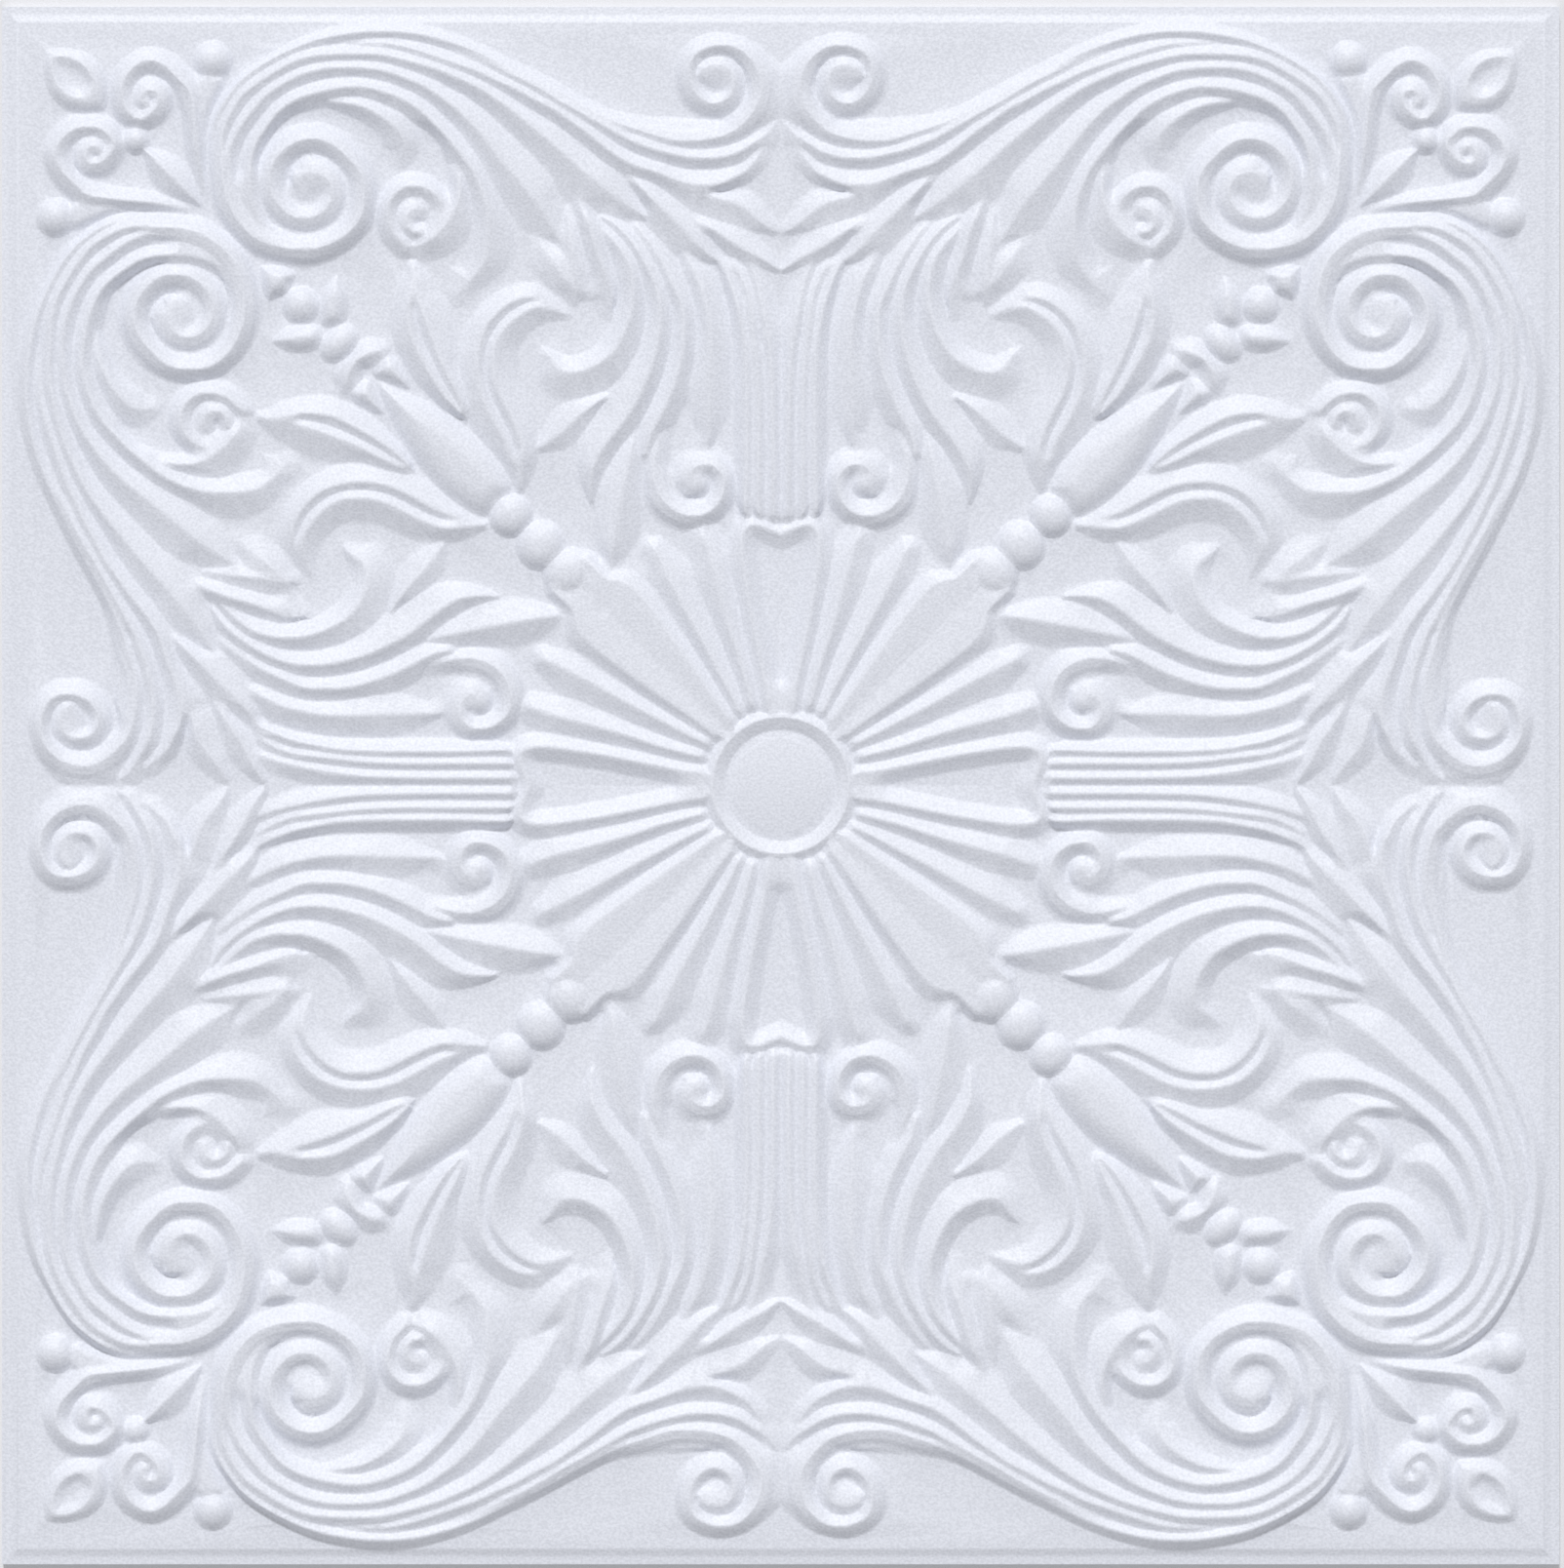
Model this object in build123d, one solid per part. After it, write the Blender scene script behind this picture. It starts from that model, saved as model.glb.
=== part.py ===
"""A square ceiling tile of moulded polystyrene foam: a flat-backed sheet with a bevelled rim, and a
scrollwork ornament in low relief on its face. The ornament is one eighth of a pattern, mirrored about
the two centre lines and the two diagonals. Millimetres, Z up, origin in the middle of the back."""

from build123d import *
from math import atan2, cos, radians, sin, sqrt
import os

# The foam sheet
tile_side = 500.0
butt_edge_height = 4.0
bevel_width = 4.5
ground_thickness = 5.5

# Heights of the relief above the ground
high_crest = 4.0
middle_crest = 3.4
low_crest = 2.8
disc_height = 1.4

# How far the relief is rooted in the sheet
root_depth = 0.5

# Sections of the ribs between their two feet: shares of the half width and of the height
sharp = ((0, 1),)
flat_topped = ((0.6, 1), (-0.6, 1))
twin_crested = ((0.3, 1), (0, 0.7), (-0.3, 1))
fluted = ((0.66, 1), (0.33, 0.5), (0, 1), (-0.33, 0.5), (-0.66, 1))

# The ornament is drawn on a grid of 500 units a side, which stretches with the tile
grid_side = 500.0
unit = tile_side / grid_side

# Medallion, on the grid
ring_radius = 22.0
ring_half_width = 4.0
disc_radius = 17.8
disc_flank = 3.0

# Beads: the number of their flat sides, and the share of the radius and height at the shoulder
bead_sides = 8
shoulder_radius_share = 0.72
shoulder_height_share = 0.8
top_radius_share = 0.35

# Points in each quarter turn of a scroll
quarter_steps = 3


def scroll(centre, start_angle, radii, widths):
    """Points of a scroll that winds in clockwise, with its radius stated at each quarter turn."""
    points = []
    count = (len(radii) - 1) * quarter_steps
    for i in range(count + 1):
        quarter, step = divmod(i, quarter_steps)
        following = radii[min(quarter + 1, len(radii) - 1)]
        radius = radii[quarter] + (following - radii[quarter]) * step / quarter_steps
        angle = radians(start_angle - 90 * i / quarter_steps)
        width = widths[0] + (widths[1] - widths[0]) * i / count
        points.append((centre[0] + radius * cos(angle), centre[1] + radius * sin(angle), width))
    return points


# Ridges of one eighth, where b is at least a. A point is (a, b, half width): a is measured from the
# vertical centre line and b from the horizontal one. A half width of 0 is a pointed tip.
great_scroll = scroll((152, 193.5), 18, (29, 22.5, 18.8, 14.8, 12.2, 11.6, 9), (4.8, 4.2))
top_scroll = [(62, 214.5, 0), (47, 211, 3.0), (33, 206.8, 3.6)]
top_scroll += scroll((21, 227.5), -90, (19.6, 15, 10.3, 8.5, 8.8, 6), (4.4, 3.4))
inner_scroll = [(38.2, 114, 0), (40.4, 106, 3.4)]
inner_scroll += scroll((27.5, 97), 0, (13.1, 10.6, 9.5, 6), (4.2, 3.4))
corner_scroll = [(183.6, 188, 0), (186.6, 201, 3.4), (188, 214, 3.8), (192, 226, 4.0)]
corner_scroll += scroll((204.5, 222), 100, (11, 7, 8.3, 5.8), (4.2, 3.2))

scrolls = {
    "great scroll": (high_crest, sharp, great_scroll),
    "top scroll": (middle_crest, sharp, top_scroll),
    "inner scroll": (middle_crest, sharp, inner_scroll),
    "corner scroll": (middle_crest, sharp, corner_scroll),
}
leaves = {
    "outer rib": (
        low_crest, sharp,
        [(182.8, 199, 0), (179.6, 217, 2.8), (163.1, 233.1, 3.4), (136, 241.4, 3.6)]
        + [(108, 239, 3.0), (76, 225.5, 0)],
    ),
    "edge rib": (
        middle_crest, sharp,
        [(110, 237, 0), (88, 229.2, 3.4), (63.8, 215.4, 4.0), (44, 205.2, 4.0), (26, 201, 3.8)]
        + [(12, 204, 3.0), (2.4, 212, 0)],
    ),
    "hook rib": (
        high_crest, sharp,
        [(146, 237.2, 0), (122, 237, 2.8), (97.3, 229, 3.8), (73.2, 217, 4.4), (52, 201.6, 4.6)]
        + [(31, 193.2, 4.4), (17.6, 193.6, 3.8), (5.4, 205, 0)],
    ),
    "long leaf": (
        high_crest, sharp,
        [(179.4, 204, 0), (174.6, 218.4, 2.8), (158.8, 231.1, 3.4), (135, 234.6, 3.8), (108.1, 228.8, 4.6)]
        + [(86.5, 216.7, 5.4), (66, 199.1, 5.8), (56, 191, 5.0), (43.7, 182.4, 0)],
    ),
    "crest leaf": (
        high_crest, sharp,
        [(177.6, 200, 0), (170.6, 214.6, 3.2), (156, 227, 4.0), (134, 230.1, 4.2), (111, 222.2, 5.2)]
        + [(94, 206, 6.4), (80.5, 189.8, 6.2), (71.4, 175.4, 0)],
    ),
    "crook leaf": (
        high_crest, sharp,
        [(168, 182.6, 0), (170.2, 196, 3.2), (162.5, 214.2, 4.2), (142, 223.6, 4.8), (119.5, 219, 4.8)]
        + [(103.6, 203.6, 4.8), (94.6, 187, 5.6), (94.4, 170, 5.8), (103, 158.6, 0)],
    ),
    "curl leaf": (
        middle_crest, sharp,
        [(146, 219.4, 0), (133.3, 217.4, 3.8), (122.6, 209.6, 5.4), (121.6, 198, 0)],
    ),
    "small volute": (
        middle_crest, sharp,
        [(109.4, 184, 0), (111.6, 190, 3.2), (118, 192.8, 4.0), (124.6, 189, 4.4), (125.8, 181, 4.2)]
        + [(120.5, 172.8, 0)],
    ),
    "cup leaf": (
        middle_crest, sharp,
        [(104, 201, 0), (103, 190, 3.6), (107.6, 181.4, 6.2), (113, 176, 6.8), (118.4, 169.6, 0)],
    ),
    "tip leaf": (high_crest, sharp, [(50, 197, 0), (43.5, 190.5, 4.2), (33, 180.5, 5.2), (20.4, 168.2, 0)]),
    "upper barb": (low_crest, sharp, [(29, 190, 0), (17, 187.5, 3.6), (8.8, 183, 3.4), (2.8, 178.4, 0)]),
    "lower barb": (low_crest, sharp, [(28, 182, 0), (17, 175.2, 3.8), (8.4, 170.3, 3.4), (1.2, 165.8, 0)]),
    "tulip leaf": (middle_crest, sharp, [(70, 190, 0), (67.8, 178.6, 4.2), (67, 166, 6.4), (66, 153.8, 0)]),
    "thorn leaf": (
        middle_crest, sharp,
        [(64.5, 187, 0), (60.4, 177, 3.2), (56.6, 165, 3.6), (53.9, 155.2, 0)],
    ),
    "hook leaf": (
        high_crest, sharp,
        [(57.6, 180, 0), (50.2, 170.4, 3.8), (47.3, 158, 4.2), (50.2, 145.5, 4.8), (57.4, 135.8, 6.2)]
        + [(67, 132.2, 7.6), (76, 141, 0)],
    ),
    "blade leaf": (
        high_crest, sharp,
        [(53.5, 180, 0), (43.6, 168, 3.8), (38.8, 154.5, 4.2), (39.8, 140, 4.4), (45.3, 125, 5.6)]
        + [(54.5, 111.4, 6.4), (60.4, 101, 4.4), (60.8, 91.5, 0)],
    ),
    "bow rib": (
        middle_crest, sharp,
        [(45.9, 179, 0), (36.4, 164.6, 3.8), (31.2, 149, 4.2), (32.4, 134, 4.2), (38.4, 119, 3.8)]
        + [(43.4, 106.4, 0)],
    ),
    "reed leaf": (
        middle_crest, sharp,
        [(30.5, 170.5, 0), (25, 158.4, 4.4), (22.5, 142, 5.6), (22.9, 121, 5.0), (23, 110, 0)],
    ),
    "stems": (
        low_crest, fluted,
        [(16.4, 169, 0), (11, 157.4, 6.0), (8.2, 145, 7.2), (7.4, 130, 7.5), (7.3, 87.5, 7.4)],
    ),
    "spear leaf": (
        middle_crest, twin_crested,
        [(118.2, 169, 0), (117, 157, 6.4), (115.4, 147.4, 10), (112.2, 136.4, 8.8), (107.6, 127.4, 6.2)]
        + [(101.6, 119, 0)],
    ),
    "swan leaf": (
        middle_crest, twin_crested,
        [(68, 152, 0), (78.6, 154.6, 6.0), (87.6, 151.4, 7.8), (93.6, 143, 9.4), (94.2, 132, 9.2)]
        + [(89.6, 117.8, 7.6), (84.6, 105.4, 5.6), (83.4, 95.2, 0)],
    ),
    "stray leaf": (low_crest, sharp, [(56, 125, 0), (66.5, 116.6, 4.0), (77, 108.4, 0)]),
    "bud leaf": (middle_crest, sharp, [(46.8, 113, 0), (49.4, 101, 4.6), (51.8, 90, 6.2), (54.6, 70, 0)]),
    "corner bud": (
        middle_crest, sharp,
        [(186.6, 228.6, 0), (184.4, 234.4, 3.6), (178.6, 234.4, 4.4), (174.2, 225.5, 0)],
    ),
    "drop ring": (
        low_crest, sharp,
        [(218.6, 219.4, 3.2), (220.4, 228.6, 3.4), (228, 233.6, 3.2), (233.6, 233.6, 3.0)],
    ),
    "finial leaf": (middle_crest, sharp, [(142.4, 163, 0), (143.6, 155.6, 4.0), (143.9, 147.6, 0)]),
    "collar leaf": (middle_crest, sharp, [(127.4, 138.4, 0), (124.6, 133.4, 4.0), (119.8, 128.6, 0)]),
    "tongue rim": (
        low_crest, sharp,
        [(1, 80.6, 0), (7.6, 83.6, 3.2), (12.1, 78, 3.4), (10.4, 60.4, 3.2), (7, 42.5, 2.8)]
        + [(4.2, 24, 2.0)],
    ),
    "inner petal": (
        middle_crest, sharp,
        [(25.4, 81.2, 0), (21.8, 70.4, 4.2), (16.6, 50.8, 3.6), (9.3, 24.5, 2.2)],
    ),
    "outer petal": (
        middle_crest, sharp,
        [(41, 77, 0), (35.8, 66.4, 4.6), (27, 50, 4.2), (13.4, 23.5, 2.4)],
    ),
    "broad ray": (
        middle_crest, sharp,
        [(58.4, 65.2, 0), (50, 65, 4.4), (41.4, 56, 4.8), (29, 38.8, 4.0), (16, 20.4, 2.6)],
    ),
}

# Pieces on the diagonal, given by their distance from the two centre lines
beads = {206.0: 3.8, 154.0: 6.0, 142.0: 6.2, 86.3: 7.5, 77.0: 8.0, 67.4: 8.0}
diagonal_forms = {
    "teardrop": (middle_crest, sharp, [(203, 203, 0), (196, 196, 4.6), (188.4, 188.4, 0)]),
    "trefoil": (middle_crest, sharp, [(168, 168, 0), (162, 162, 5.6), (156.6, 156.6, 0)]),
    "collar": (
        middle_crest, sharp,
        [(126.2, 141.8, 0), (131.6, 138.9, 3.6), (136, 136, 4.2), (138.9, 131.6, 3.6), (141.8, 126.2, 0)],
    ),
    "pod": (
        high_crest, flat_topped,
        [(127.6, 127.6, 0), (119.5, 119.5, 6.4), (111, 111, 9.4), (100, 100, 10), (92.4, 92.4, 9.2)],
    ),
}


def folded(rows):
    """A solid with flat facets between closed rows of points. At a tip a row shrinks to an upright line."""
    outlines = [rows[0], rows[-1]]
    for row, following in zip(rows, rows[1:]):
        for i in range(len(row)):
            j = (i + 1) % len(row)
            outlines += [[row[i], row[j], following[i]], [row[j], following[j], following[i]]]
    return Solid(Shell([Face(Wire.make_polygon(outline)) for outline in outlines if len(set(outline)) > 2]))


def ridge(crest, shape, points):
    """A raised rib whose feet lie on the ground, rooted in the sheet below them."""
    widest = max(width for _, _, width in points)
    rows = []
    for i, (a, b, width) in enumerate(points):
        before, after = points[max(i - 1, 0)], points[min(i + 1, len(points) - 1)]
        heading = atan2(after[1] - before[1], after[0] - before[0])
        half, height = width * unit, crest * sqrt(width / widest)
        profile = [(half, -root_depth), (half, 0)]
        profile += [(half * across, height * up) for across, up in shape]
        profile += [(-half, 0), (-half, -root_depth)]
        rows.append(
            [
                (a * unit - sin(heading) * across, b * unit + cos(heading) * across, ground_thickness + up)
                for across, up in profile
            ]
        )
    return folded(rows)


def dome(place, base_radius, crest):
    """A faceted bead standing on the ground at a point of the diagonal."""
    middle = place * unit
    corners = [radians(360 * (i + 0.5) / bead_sides) for i in range(bead_sides)]
    levels = [
        (1, -root_depth),
        (shoulder_radius_share, crest * shoulder_height_share),
        (top_radius_share, crest),
    ]
    rows = []
    for radius_share, height in levels:
        radius = base_radius * unit * radius_share
        rows.append(
            [
                (middle + radius * cos(turn), middle + radius * sin(turn), ground_thickness + height)
                for turn in corners
            ]
        )
    return folded(rows)


def ring():
    """The medallion's round rib."""
    inner, outer = ring_radius - ring_half_width, ring_radius + ring_half_width
    slope = middle_crest / (ring_half_width * unit)
    spread = root_depth / slope
    profile = make_face(
        Polyline(
            (inner * unit - spread, -root_depth),
            (ring_radius * unit, middle_crest),
            (outer * unit + spread, -root_depth),
            close=True,
        )
    )
    return Pos(0, 0, ground_thickness) * revolve(Plane.XZ * profile, Axis.Z)


def disc():
    """The medallion's flat middle, with a sloping edge."""
    top = (disc_radius - disc_flank) * unit
    edge = disc_radius * unit
    profile = make_face(
        Polyline(
            (0, -root_depth), (0, disc_height), (top, disc_height), (edge, 0), (edge, -root_depth), close=True
        )
    )
    return Pos(0, 0, ground_thickness) * revolve(Plane.XZ * profile, Axis.Z)


def quarters(shape):
    """A shape on the diagonal, and its three turns."""
    return [shape.rotate(Axis.Z, turn) for turn in (0, 90, 180, 270)]


def sheet():
    """The foam sheet with its back face, upright butt edges and bevelled rim."""
    block = Pos(0, 0, ground_thickness / 2) * Box(tile_side, tile_side, ground_thickness)
    rim = block.faces().sort_by(Axis.Z)[-1].edges()
    return chamfer(rim, ground_thickness - butt_edge_height, bevel_width)


def eighth_of_sheet():
    """The sheet between the vertical centre line and the diagonal."""
    half = tile_side / 2
    wedge = extrude(make_face(Polyline((0, 0), (half, half), (0, half), close=True)), ground_thickness)
    return sheet() & wedge


ridges = [ridge(*form) for form in [*scrolls.values(), *leaves.values()]]
eighth = eighth_of_sheet().fuse(*ridges)
twin = eighth.mirror(Plane(origin=(0, 0, 0), z_dir=(1, -1, 0)))
on_diagonal = [dome(place, base_radius, middle_crest) for place, base_radius in beads.items()]
on_diagonal += [ridge(*form) for form in diagonal_forms.values()]
parts = [ring(), disc()]
for shape in [eighth, twin, *on_diagonal]:
    parts += quarters(shape)
tile = parts[0].fuse(*parts[1:])

os.makedirs("parts", exist_ok=True)
export_step(tile, "parts/tile.step")
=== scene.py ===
from math import pi, radians, sqrt

import bpy
import bmesh
import numpy as np
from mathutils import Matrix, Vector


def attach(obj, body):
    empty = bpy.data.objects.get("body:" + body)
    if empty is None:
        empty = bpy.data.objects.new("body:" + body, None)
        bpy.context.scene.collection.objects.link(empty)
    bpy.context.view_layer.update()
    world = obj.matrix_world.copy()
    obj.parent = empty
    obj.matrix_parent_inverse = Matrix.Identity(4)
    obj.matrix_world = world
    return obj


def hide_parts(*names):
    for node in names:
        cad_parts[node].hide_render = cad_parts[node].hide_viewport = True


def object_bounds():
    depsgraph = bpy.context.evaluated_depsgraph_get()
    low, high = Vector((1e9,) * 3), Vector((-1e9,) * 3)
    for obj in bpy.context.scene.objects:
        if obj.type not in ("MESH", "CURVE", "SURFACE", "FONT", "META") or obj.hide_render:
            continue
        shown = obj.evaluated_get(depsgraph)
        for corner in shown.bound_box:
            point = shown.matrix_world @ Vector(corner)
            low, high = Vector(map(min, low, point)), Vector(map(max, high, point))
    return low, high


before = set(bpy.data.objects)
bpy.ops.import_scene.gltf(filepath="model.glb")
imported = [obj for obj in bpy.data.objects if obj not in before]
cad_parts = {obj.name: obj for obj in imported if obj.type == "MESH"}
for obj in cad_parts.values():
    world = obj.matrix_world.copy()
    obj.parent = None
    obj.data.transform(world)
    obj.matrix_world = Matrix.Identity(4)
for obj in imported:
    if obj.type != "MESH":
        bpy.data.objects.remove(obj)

start_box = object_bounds()

# The sheet, in millimetres like everything until the mesh is made. Its side and its highest point
# come from the frame.
MM = 1000
HALF = round(start_box[1][0] * MM, 3)
TOP = round(start_box[1][2] * MM, 3)
CLEARANCE = 0.02
GROUND = 5.5
HIGHEST_CREST = 4.0

# The ornament is a grid of heights above the ground, drawn a little past the centre lines. The buried
# height stands for no ornament.
CELL = 0.5
PAD = 12.0
BURIED = -1.5

# The rim: distances from the edge of the tile, and the heights there
RIM = ((0, 4.0), (0.5, 4.2), (2.7, 4.45), (5.0, GROUND))

# The medallion: distances from the centre, and the heights above the ground. It is a flat disc, a
# groove and a ring.
MEDALLION = ((0, 1.4), (14.8, 1.4), (17.8, 0.5), (22.0, 3.2), (26.0, 0.0), (28.0, BURIED))
RING_RADIUS = 22.0

# Softness of the edges: at the foot, in a valley, on a crest, over all the relief and on the rim
FOOT_FILLET = 0.12
VALLEY_FILLET = 0.08
ROUND_CREST = 0.5
RELIEF_BLUR = 0.33
RIM_BLUR = 0.35

# Distance between the samples along a crest, along an edge line and along an outline
CREST_STEP = 0.8
EDGE_STEP = 1.5
OUTLINE_STEP = 1.0

# The width of a flank: how near and far its edge line may be, and the width without one
NEAREST_EDGE = 0.3
FARTHEST_EDGE = 13.0
PLAIN_WIDTH = 4.5
# An edge line counts a little past its ends, as a share of its length. Widths are evened out over
# some samples on each side, first by their median. A crest is drawn a little wider than its flanks.
END_SLACK = 0.02
MEDIAN_REACH = 2
SMOOTHING = 4
MARGIN = 1.35

# A valley's height as a share of the crest's falls with the width of the flank, between two limits.
# A shallow hollow has one share.
VALLEY_SLOPE = 0.78
DEEPEST, SHALLOWEST = 0.15, 0.85
HOLLOW = 0.74
LOWEST_CREST = 0.5

# The ends of a leaf narrow over the taper's length to the tip's share of the width.
TAPER = 4.0
LEAF_TIP = 0.6
BLUNT_TIP = 1.0

# A soft step along the flanks of the scrolls: the space between two steps, its strength, the widths
# between which it grows, and where it ends before the foot
TERRACE = 3.0
TERRACE_STRENGTH = 0.85
TERRACE_FROM, TERRACE_FULL = 3.0, 5.5
TERRACE_END = 1.0

# Beads: how full they are, how far past their edge they are drawn, and how steeply they fall there
FULLNESS = 0.85
BEAD_MARGIN = 1.3
BEAD_DROP = 6
# The same for filled outlines, and the powers of their bulges and the beads'
OUTLINE_MARGIN = 4
OUTLINE_DROP = 2
LOW_ROOF, ROOF, ROUNDED, PLUMP = 1.3, 1.4, 2.0, 2.6

# The mesh, and the measures that count as nothing, as one place and as out of reach
TRIANGLES_AN_EIGHTH = 23600
TINY = 1e-9
SAME_PLACE = 1e-6
HUGE = 1e9

cells = int(round((HALF + PAD) / CELL)) + 1
axis = np.linspace(-PAD, HALF, cells)
field = np.full((cells, cells), BURIED)

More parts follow.
